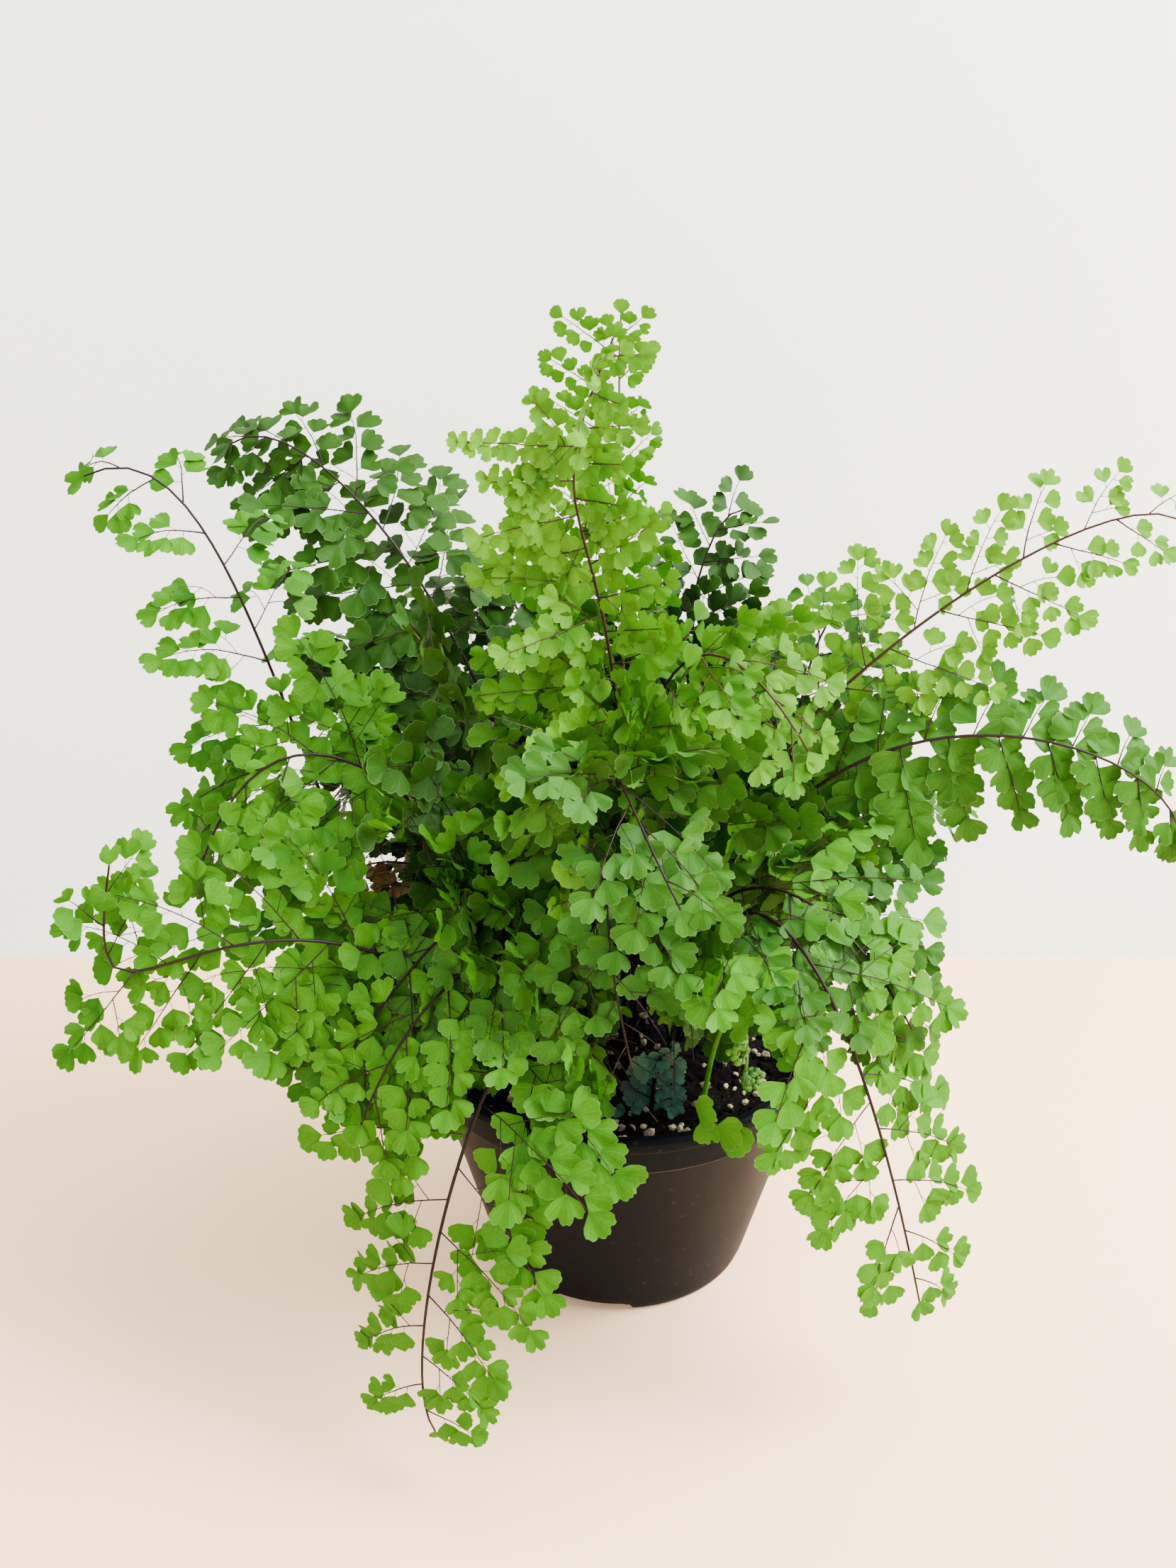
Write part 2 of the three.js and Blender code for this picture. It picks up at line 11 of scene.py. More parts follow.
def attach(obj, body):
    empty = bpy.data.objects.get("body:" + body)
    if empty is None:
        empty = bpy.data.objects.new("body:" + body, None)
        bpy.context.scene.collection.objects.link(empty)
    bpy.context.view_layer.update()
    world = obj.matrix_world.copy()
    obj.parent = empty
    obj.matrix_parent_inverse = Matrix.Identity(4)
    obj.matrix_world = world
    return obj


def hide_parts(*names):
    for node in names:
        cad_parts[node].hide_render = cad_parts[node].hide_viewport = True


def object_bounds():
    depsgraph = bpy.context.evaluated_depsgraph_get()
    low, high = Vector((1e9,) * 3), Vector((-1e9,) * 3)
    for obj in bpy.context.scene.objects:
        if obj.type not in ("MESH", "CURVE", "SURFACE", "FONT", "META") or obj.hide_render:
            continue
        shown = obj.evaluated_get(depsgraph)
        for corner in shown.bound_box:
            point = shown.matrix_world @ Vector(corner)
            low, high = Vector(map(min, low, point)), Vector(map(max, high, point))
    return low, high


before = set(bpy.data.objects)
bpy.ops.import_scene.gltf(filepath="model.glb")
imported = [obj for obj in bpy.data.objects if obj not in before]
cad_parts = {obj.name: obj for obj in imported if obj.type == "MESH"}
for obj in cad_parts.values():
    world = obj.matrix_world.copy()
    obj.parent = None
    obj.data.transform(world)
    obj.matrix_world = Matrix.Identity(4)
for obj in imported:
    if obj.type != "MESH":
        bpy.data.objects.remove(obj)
cadLow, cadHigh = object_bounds()
print("frame loaded")

mm = 0.001
upward = Vector((0, 0, 1))
origin = Vector((0, 0, 0))


def linear(red, green, blue):
    # a screen colour, 0 to 255, as Blender's linear one
    def channel(value):
        value = value / 255
        return value / 12.92 if value < 0.04045 else ((value + 0.055) / 1.055) ** 2.4
    return (channel(red), channel(green), channel(blue), 1)


def darker(colour, share):
    return (colour[0] * share, colour[1] * share, colour[2] * share, 1)


def toShare(value):
    return min(max(value, 0), 1)


def addObject(name, data):
    made = bpy.data.objects.new(name, data)
    bpy.context.collection.objects.link(made)
    return made


def toMesh(name, bm):
    mesh = bpy.data.meshes.new(name)
    bm.to_mesh(mesh)
    bm.free()
    return mesh


def smoothAll(bm):
    for face in bm.faces:
        face.smooth = True


# Camera and lights

camera = {
    "place": (-0.0133, -0.575, 0.458),
    "tilt": 66.4,  # degrees up from looking straight down
    "lens": 38.08,
    "sensor": 36,
}

lights = {
    "key": {"place": (1.15, -0.3, 1.25), "aim": (0, 0, 0.2), "size": 0.9, "power": 128},
    "front": {"place": (-0.6, -1.6, 1.3), "aim": (0, 0, 0.15), "size": 1.8, "power": 44},
    "back": {"place": (0.35, 0.15, 1.5), "aim": (0, 0, 0.2), "size": 0.8, "power": 32},
}
skyPower = 0.58


def placeCamera():
    data = bpy.data.cameras.new("camera")
    data.lens = camera["lens"]
    data.sensor_width = camera["sensor"]
    data.clip_start = 0.01
    seen = addObject("camera", data)
    seen.location = camera["place"]
    seen.rotation_euler = (math.radians(camera["tilt"]), 0, 0)
    bpy.context.scene.camera = seen


def placeLights():
    for name, plan in lights.items():
        data = bpy.data.lights.new(name, "AREA")
        data.shape = "DISK"
        data.size = plan["size"]
        data.energy = plan["power"]
        lamp = addObject(name, data)
        lamp.location = plan["place"]
        aim = Vector(plan["aim"]) - lamp.location
        lamp.rotation_euler = aim.to_track_quat("-Z", "Y").to_euler()
    world = bpy.data.worlds.new("studio")
    world.use_nodes = True
    sky = world.node_tree.nodes["Background"]
    sky.inputs["Color"].default_value = (0.93, 0.96, 1, 1)
    sky.inputs["Strength"].default_value = skyPower
    bpy.context.scene.world = world


placeCamera()
placeLights()
print("camera and lights placed")


# Node helpers

def feed(tree, node, feeds):
    # feeds: socket name or number -> a socket to link, or a value to set
    for name, value in feeds.items():
        if isinstance(value, bpy.types.NodeSocket):
            tree.links.new(value, node.inputs[name])
        else:
            node.inputs[name].default_value = value


def addNode(tree, kind, feeds=None, **settings):
    made = tree.nodes.new(kind)
    for name, value in settings.items():
        setattr(made, name, value)
    feed(tree, made, feeds or {})
    return made


def calculate(tree, operation, first, second=0.0, clamp=False):
    made = addNode(tree, "ShaderNodeMath", {0: first, 1: second}, operation=operation, use_clamp=clamp)
    return made.outputs[0]


def smooth(tree, value, low, high, start=0.0, end=1.0):
    made = addNode(
        tree, "ShaderNodeMapRange",
        {"Value": value, "From Min": low, "From Max": high, "To Min": start, "To Max": end},
        interpolation_type="SMOOTHSTEP",
    )
    return made.outputs[0]


def multiply(tree, first, second):
    return calculate(tree, "MULTIPLY", first, second)


def blendColours(tree, share, first, second):
    return addNode(tree, "ShaderNodeMix", {0: share, 6: first, 7: second}, data_type="RGBA").outputs[2]


def newGroup(name, inputs, outputs):
    # every socket carries a plain value
    group = bpy.data.node_groups.new(name, "ShaderNodeTree")
    for way, labels in (("INPUT", inputs), ("OUTPUT", outputs)):
        for label in labels:
            group.interface.new_socket(label, in_out=way, socket_type="NodeSocketFloat")
    return group, addNode(group, "NodeGroupInput").outputs, addNode(group, "NodeGroupOutput").inputs


def useGroup(tree, group, feeds):
    return addNode(tree, "ShaderNodeGroup", feeds, node_tree=group).outputs


def newMaterial(name):
    material = bpy.data.materials.new(name)
    material.use_nodes = True
    return material, material.node_tree, material.node_tree.nodes["Principled BSDF"]


def stretch(tree, value, low, high):
    return addNode(tree, "ShaderNodeMapRange", {"Value": value, "To Min": low, "To Max": high}).outputs[0]


def relief(tree, height, strength, distance):
    feeds = {"Height": height, "Strength": strength, "Distance": distance}
    return addNode(tree, "ShaderNodeBump", feeds).outputs[0]


def clouds(tree, place, scale, detail):
    return addNode(tree, "ShaderNodeTexNoise", {"Vector": place, "Scale": scale, "Detail": detail}).outputs[0]


def blendShaders(tree, share, first, second):
    both = addNode(tree, "ShaderNodeMixShader", {0: share, 1: first.outputs[0], 2: second.outputs[0]})
    tree.links.new(both.outputs[0], tree.nodes["Material Output"].inputs["Surface"])


def makeGrain():
    # fine grain and larger cloudy patches, read in object space
    group, taken, given = newGroup("grain", ("Fine Scale", "Patch Scale"), ("Fine", "Patches"))
    place = addNode(group, "ShaderNodeTexCoord").outputs["Object"]
    group.links.new(clouds(group, place, taken["Fine Scale"], 3.0), given["Fine"])
    group.links.new(clouds(group, place, taken["Patch Scale"], 4.0), given["Patches"])
    return group


grain = makeGrain()


def useGrain(tree, fine, patch):
    return useGroup(tree, grain, {"Fine Scale": fine, "Patch Scale": patch})


# Floor and backdrop

# from and to: how far back and how high each surface begins and ends
stage = {
    "floor": {"colour": (250, 208, 165), "glow": 0.2, "from": (-2.0, 0), "to": (2.2, 0)},
    "backdrop": {"colour": (236, 244, 240), "glow": 0.85, "from": (0.233, -0.001), "to": (0.233, 2.2)},
}
stageHalfWidth = 2.2


def makeSurface(name, plan):
    bm = bmesh.new()
    ends = [bm.verts.new((-stageHalfWidth, y, z)) for y, z in (plan["from"], plan["to"])]
    edge = bm.edges.new(ends)
    grown = bmesh.ops.extrude_edge_only(bm, edges=[edge])["geom"]
    moved = [part for part in grown if isinstance(part, bmesh.types.BMVert)]
    bmesh.ops.translate(bm, verts=moved, vec=(2 * stageHalfWidth, 0, 0))
    for face in bm.faces:
        face.normal_update()
        if face.normal.dot(Vector((0, -1, 1))) < 0:
            face.normal_flip()
    mesh = toMesh(name, bm)
    material, tree, shader = newMaterial(name)
    marks = useGrain(tree, 90.0, 2.5)
    base = linear(*plan["colour"])
    mixed = blendColours(tree, marks["Patches"], base, darker(base, 0.95))
    feed(tree, shader, {
        "Base Color": mixed, "Emission Color": mixed, "Emission Strength": plan["glow"], "Roughness": 0.6})
    # clear from behind, so that the plant's back can be seen
    behind = addNode(tree, "ShaderNodeNewGeometry").outputs["Backfacing"]
    blendShaders(tree, behind, shader, addNode(tree, "ShaderNodeBsdfTransparent"))
    mesh.materials.append(material)
    surface = addObject(name, mesh)


for surfaceName, surfacePlan in stage.items():
    makeSurface(surfaceName, surfacePlan)
print("stage made")


def finishPiece(name, bm, material, slotName, *nodes):
    # the new piece rides on the root and stands for the CAD nodes named
    mesh = toMesh(name, bm)
    mesh.materials.append(material)
    piece = addObject(name, mesh)
    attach(piece, "root")
    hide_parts(*nodes)


def spinProfile(profile, steps):
    # a round body from pairs of radius and height in millimetres
    bm = bmesh.new()
    points = [bm.verts.new((radius * mm, 0, height * mm)) for radius, height in profile]
    edges = [bm.edges.new(pair) for pair in zip(points, points[1:])]
    bmesh.ops.spin(
        bm, geom=points + edges, cent=origin, axis=upward, angle=2 * math.pi, steps=steps, use_merge=True)
    bmesh.ops.remove_doubles(bm, verts=bm.verts, dist=1e-6)
    bmesh.ops.recalc_face_normals(bm, faces=bm.faces)
    return bm


# Pot

potPlan = {
    "height": 100,
    "footRadius": 53.3,
    "footRound": 4,
    "bandStart": 84,
    "bandRadius": 76.2,
    "step": 0.9,
    "flare": 0.5,
    "lipStart": 93.5,
    "lipRadius": 79,
    "lipRound": 1.4,
    "wall": 1.6,
    "floor": 2,
    "steps": 144,
    "rounding": 0.6,
}

notchPlan = {
    "count": 4, "firstHeading": 257, "halfWidth": 15.5, "height": 4.4, "depth": 15, "shoulder": 4,
    "slope": 5,  # the way over which the inner end rises
    "highest": 12,  # nothing above this is moved
}


def wallRadius(height):
    plan = potPlan
    rise = (height - plan["footRound"]) / (plan["bandStart"] - plan["footRound"])
    return plan["footRadius"] + (plan["bandRadius"] - plan["step"] - plan["footRadius"]) * rise


def makePotMaterial():
    material, tree, shader = newMaterial("pot plastic")
    place = addNode(tree, "ShaderNodeTexCoord").outputs["Object"]
    marks = useGrain(tree, 1400.0, 16.0)
    # dust: more of it low on the wall and in patches
    height = addNode(tree, "ShaderNodeSeparateXYZ", {0: place}).outputs["Z"]
    low = smooth(tree, height, 0.0, 0.05, 0.5, 0.12)
    patches = smooth(tree, marks["Patches"], 0.42, 0.68)
    dust = multiply(tree, patches, low)
    colour = blendColours(tree, dust, linear(9, 13, 17), linear(20, 24, 28))
    # scratches: long thin streaks round the wall
    stretched = addNode(tree, "ShaderNodeMapping", {"Vector": place, "Scale": (9, 9, 260)}).outputs[0]
    streaks = clouds(tree, stretched, 4.0, 2.0)
    bandOnly = smooth(tree, height, 0.05, 0.09, 0.15, 0.7)
    worn = multiply(tree, smooth(tree, streaks, 0.69, 0.76), bandOnly)
    colour = blendColours(tree, worn, colour, linear(30, 30, 29))
    # a pale painted highlight along the step under the band, where its ledge catches the light, and specks
    offStep = calculate(tree, "ABSOLUTE", calculate(tree, "SUBTRACT", height, potPlan["bandStart"] * mm))
    stepHighlight = smooth(tree, offStep, 0.0003, 0.0007, 0.5, 0.0)
    colour = blendColours(tree, stepHighlight, colour, linear(92, 88, 80))
    speckle = addNode(tree, "ShaderNodeTexVoronoi", {"Vector": place, "Scale": 160.0})
    specks = smooth(tree, speckle.outputs["Distance"], 0.16, 0.1)
    specks = multiply(tree, multiply(tree, specks, patches), 0.5)
    colour = blendColours(tree, specks, colour, linear(44, 43, 40))
    feed(tree, shader, {
        "Base Color": colour, "Roughness": stretch(tree, marks["Patches"], 0.36, 0.6),
        "Specular IOR Level": 0.03, "Normal": relief(tree, marks["Fine"], 0.12, 0.0004)})
    return material


def cutNotches(bm):
    # the drainage notches: the foot is pushed up and in at four places
    plan = notchPlan
    foot = potPlan["footRadius"]
    step = 360 / plan["count"]
    for vert in bm.verts:
        reach = math.hypot(vert.co.x, vert.co.y)
        if vert.co.z > plan["highest"] * mm or reach < (foot - plan["depth"] - 1) * mm:
            continue
        heading = math.degrees(math.atan2(vert.co.y, vert.co.x)) - plan["firstHeading"]
        off = abs((heading + step / 2) % step - step / 2)
        aside = math.radians(off) * reach / mm
        share = toShare((plan["halfWidth"] + plan["shoulder"] / 2 - aside) / plan["shoulder"])
        share = share * share * (3 - 2 * share)
        top = plan["height"] * share * toShare((reach / mm - foot + plan["depth"]) / plan["slope"])
        # the inside of the floor stays above the notch by the wall's thickness
        onFloor = vert.co.z >= (potPlan["floor"] - 0.2) * mm and reach <= (foot - 0.8) * mm
        vert.co.z = max(vert.co.z, (top + potPlan["wall"] if onFloor else top) * mm)


def makePot():
    plan = potPlan
    height, floor, wall = plan["height"], plan["floor"], plan["wall"]
    foot, rounded = plan["footRadius"], plan["footRound"]
    band, bandStart = plan["bandRadius"], plan["bandStart"]
    lip, lipStart, lipRound = plan["lipRadius"], plan["lipStart"], plan["lipRound"]
    overNotch = notchPlan["height"] + 3
    outside = [
        (0, 0),
        (foot - notchPlan["depth"], 0),
        (foot - rounded, 0),
        (foot - 1.2, 1.2),
        (foot, rounded),
        (wallRadius(overNotch), overNotch),
        (wallRadius(bandStart), bandStart),
        (band, bandStart),
        (band + plan["flare"], lipStart),
        (lip, lipStart + lipRound),
        (lip, height - lipRound),
        (lip - lipRound, height),
    ]
    inside = [
        (band - wall, height),
        (band - wall - plan["flare"], lipStart),
        (wallRadius(16) - wall, 16),
        (foot - wall, floor + rounded),
        (foot - rounded - wall / 2, floor),
        (0, floor),
    ]
    bm = spinProfile(outside + inside, plan["steps"])
    sharp = [edge for edge in bm.edges if len(edge.link_faces) == 2 and edge.calc_face_angle() > 0.5]
    bmesh.ops.bevel(
        bm, geom=sharp, offset=plan["rounding"] * mm, segments=3, profile=0.5, affect="EDGES", material=-1)
    cutNotches(bm)
    smoothAll(bm)
    finishPiece("potShell", bm, makePotMaterial(), "pot", "pot")


makePot()
print("pot made")


# Soil, with crumbs and perlite

soilPlan = {
    "edge": 86,
    "crown": 91,
    "radius": 74.2,
    "rings": 30,
    "steps": 110,
    "crumbs": {"count": 620, "within": 0.97, "size": (0.9, 2.6), "least": 0.6, "lift": 0.25, "flat": 0.75},
    "perlite": {"count": 210, "within": 0.96, "size": (1.1, 3.2), "least": 0.55, "lift": 0.35, "flat": 0.85},
}


def soilHeight(radius):
    plan = soilPlan
    return plan["crown"] + (plan["edge"] - plan["crown"]) * (radius / potPlan["bandRadius"]) ** 2


def soilTop(x, y):
    # height of the crumbly surface, in millimetres
    coarse = noise.noise(Vector((x * 0.09, y * 0.09, 3.1)))
    lumps = noise.noise(Vector((x * 0.33, y * 0.33, 7.7)))
    fine = noise.noise(Vector((x * 0.9, y * 0.9, 1.3)))
    return soilHeight(math.hypot(x, y)) + coarse * 1.3 + lumps * 0.8 + fine * 0.35


def makeSoilMaterial():
    material, tree, shader = newMaterial("peat")
    marks = useGrain(tree, 620.0, 60.0)
    patches = smooth(tree, marks["Patches"], 0.35, 0.65)
    colour = blendColours(tree, patches, linear(3, 3, 2), linear(11, 9, 8))
    bits = multiply(tree, smooth(tree, marks["Fine"], 0.58, 0.7), 0.6)
    colour = blendColours(tree, bits, colour, linear(44, 36, 29))
    feed(tree, shader, {
        "Base Color": colour, "Roughness": 0.88, "Specular IOR Level": 0.05,
        "Normal": relief(tree, marks["Fine"], 0.7, 0.0012)})
    return material


def makePerliteMaterial():
    material, tree, shader = newMaterial("perlite")
    marks = useGrain(tree, 1100.0, 190.0)
    dirt = smooth(tree, marks["Patches"], 0.4, 0.7)
    colour = blendColours(tree, dirt, linear(172, 160, 124), linear(84, 74, 52))
    normal = relief(tree, marks["Fine"], 0.6, 0.0006)
    feed(tree, shader, {"Base Color": colour, "Roughness": 0.85, "Normal": normal})
    return material


def addGrain(bm, place, size, chance, flatness, smoothFaces):
    # one rough lump of a few dozen faces, turned any way
    made = bmesh.ops.create_icosphere(bm, subdivisions=1, radius=size)["verts"]
    seed = Vector((chance.random() * 50, chance.random() * 50, chance.random() * 50))
    for vert in made:
        vert.co *= 1 + 0.45 * noise.noise(vert.co / size * 1.3 + seed)
    turn = Matrix.Rotation(chance.uniform(0, 6.28), 3, "Z")
    turn = turn @ Matrix.Rotation(chance.uniform(-0.6, 0.6), 3, "X")
    bmesh.ops.scale(bm, verts=made, vec=(1, chance.uniform(0.6, 1), flatness))
    bmesh.ops.rotate(bm, verts=made, cent=origin, matrix=turn)
    bmesh.ops.translate(bm, verts=made, vec=place)
    if smoothFaces:
        for face in {face for vert in made for face in vert.link_faces}:
            face.smooth = True


def scatterGrains(bm, plan, chance, smoothFaces):
    for count in range(plan["count"]):
        reach = soilPlan["radius"] * plan["within"] * math.sqrt(chance.random())
        heading = chance.uniform(0, 2 * math.pi)
        x, y = reach * math.cos(heading), reach * math.sin(heading)
        size = chance.uniform(*plan["size"]) * chance.uniform(plan["least"], 1)
        z = soilTop(x, y) + size * plan["lift"]
        addGrain(bm, Vector((x, y, z)) * mm, size * mm, chance, plan["flat"], smoothFaces)


def makeSoil():
    plan = soilPlan
    chance = random.Random("soil")
    bottom = potPlan["floor"] + 0.4
    radii = [plan["radius"] * ring / plan["rings"] for ring in range(plan["rings"], -1, -1)]
    profile = [(0, bottom), (47, bottom), (51, 7), (wallRadius(60) - 2.2, 60)]
    profile += [(plan["radius"], plan["edge"] - 1)]
    profile += [(radius, soilHeight(radius)) for radius in radii]
    bm = spinProfile(profile, plan["steps"])
    for vert in bm.verts:
        if vert.co.z > (plan["edge"] - 0.5) * mm:
            vert.co.z = soilTop(vert.co.x / mm, vert.co.y / mm) * mm
    scatterGrains(bm, plan["crumbs"], chance, True)
    finishPiece("soilPeat", bm, makeSoilMaterial(), "soil", "soil")
    bm = bmesh.new()
    scatterGrains(bm, plan["perlite"], chance, False)
    finishPiece("perliteGrains", bm, makePerliteMaterial(), "perlite")


makeSoil()
print("soil made")


# Leaflets: a few fan-shaped patterns of radius 1, each cut and waved in its own way

leafletPlan = {
    "middleRing": 0.6,
    "thickness": 0.03,
    "corner": 0.36,  # how far the two outer corners are rounded off
    "tooth": 0.06,  # depth of the notches between the rounded teeth on the outer edge
    "cleftWidth": 0.1,
    "patterns": [
        # teeth, degrees that the fan opens, lean of its outline, lobes and the clefts between them
        {"teeth": 6, "open": 116, "lean": 0.06, "lobes": 3, "cleft": 0.11, "cup": 0.14, "wave": 0.05},
        {"teeth": 6, "open": 106, "lean": -0.1, "lobes": 2, "cleft": 0.17, "cup": -0.1, "wave": 0.06},
        {"teeth": 6, "open": 124, "lean": 0.04, "lobes": 3, "cleft": 0.14, "cup": 0.18, "wave": 0.05},
        {"teeth": 6, "open": 110, "lean": 0.14, "lobes": 2, "cleft": 0.27, "cup": 0.1, "wave": -0.07},
        {"teeth": 6, "open": 120, "lean": -0.14, "lobes": 3, "cleft": 0.09, "cup": -0.12, "wave": 0.06},
        {"teeth": 5, "open": 98, "lean": 0.05, "lobes": 1, "cleft": 0, "cup": 0.14, "wave": 0.03},
        {"teeth": 6, "open": 122, "lean": -0.08, "lobes": 3, "cleft": 0.2, "cup": 0.06, "wave": 0.08},
    ],
}


def outerEdge(pattern, across):
    # how far the outer edge reaches, from 0 to 1, at a share of the fan's opening
    plan = leafletPlan
    edge = 1 - plan["tooth"] * abs(math.cos(math.pi * across * pattern["teeth"])) ** 3
    edge *= 1 - plan["corner"] * abs(2 * across - 1) ** 4
    edge *= 1 + pattern["lean"] * (2 * across - 1)
    lobe = across * pattern["lobes"]
    distance = abs(lobe - round(lobe)) / pattern["lobes"]
    return edge * (1 - pattern["cleft"] * max(0, 1 - distance / plan["cleftWidth"]))


def makeLeaflet(name, pattern):
    plan = leafletPlan
    opening = math.radians(pattern["open"])
    bm = bmesh.new()
    rings = (0, plan["middleRing"], 1)
    points = [bm.verts.new((reach, 0, 0)) for reach in rings]
    edges = [bm.edges.new(pair) for pair in zip(points, points[1:])]
    bmesh.ops.rotate(bm, verts=points, cent=origin, matrix=Matrix.Rotation(-opening / 2, 3, "Z"))
    bmesh.ops.spin(
        bm, geom=points + edges, cent=origin, axis=upward, angle=opening, steps=3 * pattern["teeth"])
    bmesh.ops.remove_doubles(bm, verts=bm.verts, dist=1e-5)
    layer = bm.loops.layers.uv.new("leaf")
    for face in bm.faces:
        middle = face.calc_center_median()
        for corner in face.loops:
            place = corner.vert.co
            aim = place if place.length > 0.01 else middle
            corner[layer].uv = (math.atan2(aim.y, aim.x) / opening + 0.5, place.length)
    for vert in bm.verts:
        reach = vert.co.length
        if reach < 0.01:
            continue
        across = math.atan2(vert.co.y, vert.co.x) / opening + 0.5
        vert.co *= 1 + (outerEdge(pattern, across) - 1) * reach ** 2
        bend = pattern["cup"] * (vert.co.y ** 2 * 1.6 - vert.co.x ** 2 * 0.5)
        wave = pattern["wave"] * math.sin(across * 4 * math.pi + 0.6) * reach ** 2
        vert.co.z = bend + wave
    # a second layer just below, which meets the first along the edge
    below = bmesh.ops.duplicate(bm, geom=bm.verts[:] + bm.edges[:] + bm.faces[:])["geom"]
    inner = [part for part in below if isinstance(part, bmesh.types.BMVert) and not part.is_boundary]
    bmesh.ops.translate(bm, verts=inner, vec=(0, 0, -plan["thickness"]))
    bmesh.ops.remove_doubles(bm, verts=bm.verts, dist=1e-5)
    bmesh.ops.recalc_face_normals(bm, faces=bm.faces)
    smoothAll(bm)
    for edge in bm.edges:
        if edge.calc_face_angle() > 1.5:
            edge.smooth = False
    mesh = toMesh(name, bm)
    # room for each leaflet's tone, with its painted shade
    mesh.attributes.new("toneAndShade", "FLOAT", "POINT")
    return mesh


leaflets = [
    makeLeaflet(f"leaflet{number}", pattern) for number, pattern in enumerate(leafletPlan["patterns"])]
print("leaflet patterns made")


# Leaf and stem materials

def makeLeafPattern():
    # forked veins that fan out from the base, a thin pale margin, and blotches
    tree, taken, given = newGroup(
        "leaf pattern", ("Vein Count", "Vein Width"), ("Veins", "Margin", "Blotches", "Reach"))
    chart = addNode(tree, "ShaderNodeUVMap", uv_map="leaf").outputs[0]
    place = addNode(tree, "ShaderNodeTexCoord").outputs["Object"]
    split = addNode(tree, "ShaderNodeSeparateXYZ", {0: chart})
    across, reach = split.outputs["X"], split.outputs["Y"]
    shift = multiply(tree, calculate(tree, "SUBTRACT", clouds(tree, place, 260.0, 1.0), 0.5), 0.05)
    across = calculate(tree, "ADD", across, shift)
    veins = None
    for times, begins in ((1.0, -0.1), (2.0, 0.42), (4.0, 0.72)):
        count = multiply(tree, taken["Vein Count"], times)
        lane = calculate(tree, "FRACT", multiply(tree, across, count))
        off = calculate(tree, "ABSOLUTE", calculate(tree, "SUBTRACT", lane, 0.5))
        distance = multiply(tree, calculate(tree, "DIVIDE", off, count), reach)
        line = smooth(tree, distance, 0.0, taken["Vein Width"], 1.0, 0.0)
        line = multiply(tree, line, smooth(tree, reach, begins, begins + 0.12))
        veins = line if veins is None else calculate(tree, "MAXIMUM", veins, line)
    tree.links.new(veins, given["Veins"])
    tree.links.new(smooth(tree, reach, 0.95, 1.0), given["Margin"])
    tree.links.new(clouds(tree, place, 45.0, 3.0), given["Blotches"])
    tree.links.new(reach, given["Reach"])
    return tree


leafPattern = makeLeafPattern()

# deep and pale: the darkest and the palest leaflets of a tone, through: the light that shines through
leafTones = {
    "light": {"deep": (56, 118, 6), "pale": (112, 172, 26), "through": (128, 190, 8), "share": 0.5},
    "fresh": {"deep": (36, 100, 3), "pale": (84, 152, 14), "through": (98, 170, 6), "share": 0.48},
    "mid": {"deep": (28, 78, 8), "pale": (64, 122, 20), "through": (70, 140, 6), "share": 0.44},
    "dark": {"deep": (22, 58, 5), "pale": (50, 98, 12), "through": (46, 104, 6), "share": 0.38},
    "deep": {"deep": (40, 82, 68), "pale": (80, 128, 108), "through": (60, 108, 82), "share": 0.3},
    "withered": {"deep": (84, 58, 22), "pale": (136, 104, 46), "through": (120, 84, 28), "share": 0.3},
}


def makeLeafMaterial(name, tone):
    material, tree, shader = newMaterial("leaf " + name)
    deep, pale, through = (linear(*tone[part]) for part in ("deep", "pale", "through"))
    marks = useGroup(tree, leafPattern, {"Vein Count": 7.0, "Vein Width": 0.022})
    # each leaflet's tone, darkened by painted shade near the fern's heart
    toneAndShade = addNode(tree, "ShaderNodeAttribute", attribute_name="toneAndShade").outputs["Fac"]
    share = calculate(tree, "ADD", toneAndShade, smooth(tree, marks["Blotches"], 0.3, 0.7, -0.18, 0.18))
    outer = smooth(tree, marks["Reach"], 0.15, 1.0, -0.16, 0.2)
    share = calculate(tree, "ADD", share, outer, clamp=True)
    colour = blendColours(tree, share, deep, pale)
    colour = blendColours(tree, multiply(tree, marks["Veins"], 0.34), colour, darker(deep, 0.55))
    rim = blendColours(tree, 0.5, pale, linear(214, 232, 170))
    colour = blendColours(tree, multiply(tree, marks["Margin"], 0.26), colour, rim)
    normal = relief(tree, marks["Veins"], 0.2, 0.0002)
    feed(tree, shader, {
        "Base Color": colour, "Roughness": stretch(tree, marks["Blotches"], 0.46, 0.66),
        "Specular IOR Level": 0.16, "Normal": normal})
    shining = blendColours(tree, 0.65, colour, through)
    glow = addNode(tree, "ShaderNodeBsdfTranslucent", {"Color": shining, "Normal": normal})
    blendShaders(tree, tone["share"], shader, glow)
    return material


def makeStemMaterial(name, base, tip):
    # age runs from 0 at the foot of a stalk to 1 at the thinnest ends
    material, tree, shader = newMaterial("stem " + name)
    marks = useGrain(tree, 900.0, 40.0)
    age = addNode(tree, "ShaderNodeAttribute", attribute_name="age").outputs["Fac"]
    drift = smooth(tree, marks["Patches"], 0.3, 0.7, -0.12, 0.12)
    share = calculate(tree, "ADD", age, drift, clamp=True)
    colour = blendColours(tree, share, linear(*base), linear(*tip))
    feed(tree, shader, {
        "Base Color": colour, "Roughness": stretch(tree, marks["Patches"], 0.28, 0.5),
        "Specular IOR Level": 0.12, "Normal": relief(tree, marks["Fine"], 0.2, 0.0002)})
    return material


leafMaterials = {name: makeLeafMaterial(name, tone) for name, tone in leafTones.items()}
stemMaterials = {
    "black": makeStemMaterial("black", (10, 8, 9), (38, 22, 16)),
    "green": makeStemMaterial("green", (24, 10, 6), (110, 124, 44)),
    "brown": makeStemMaterial("brown", (20, 14, 12), (66, 42, 28)),
}
print("leaf and stem materials made")


# Fronds

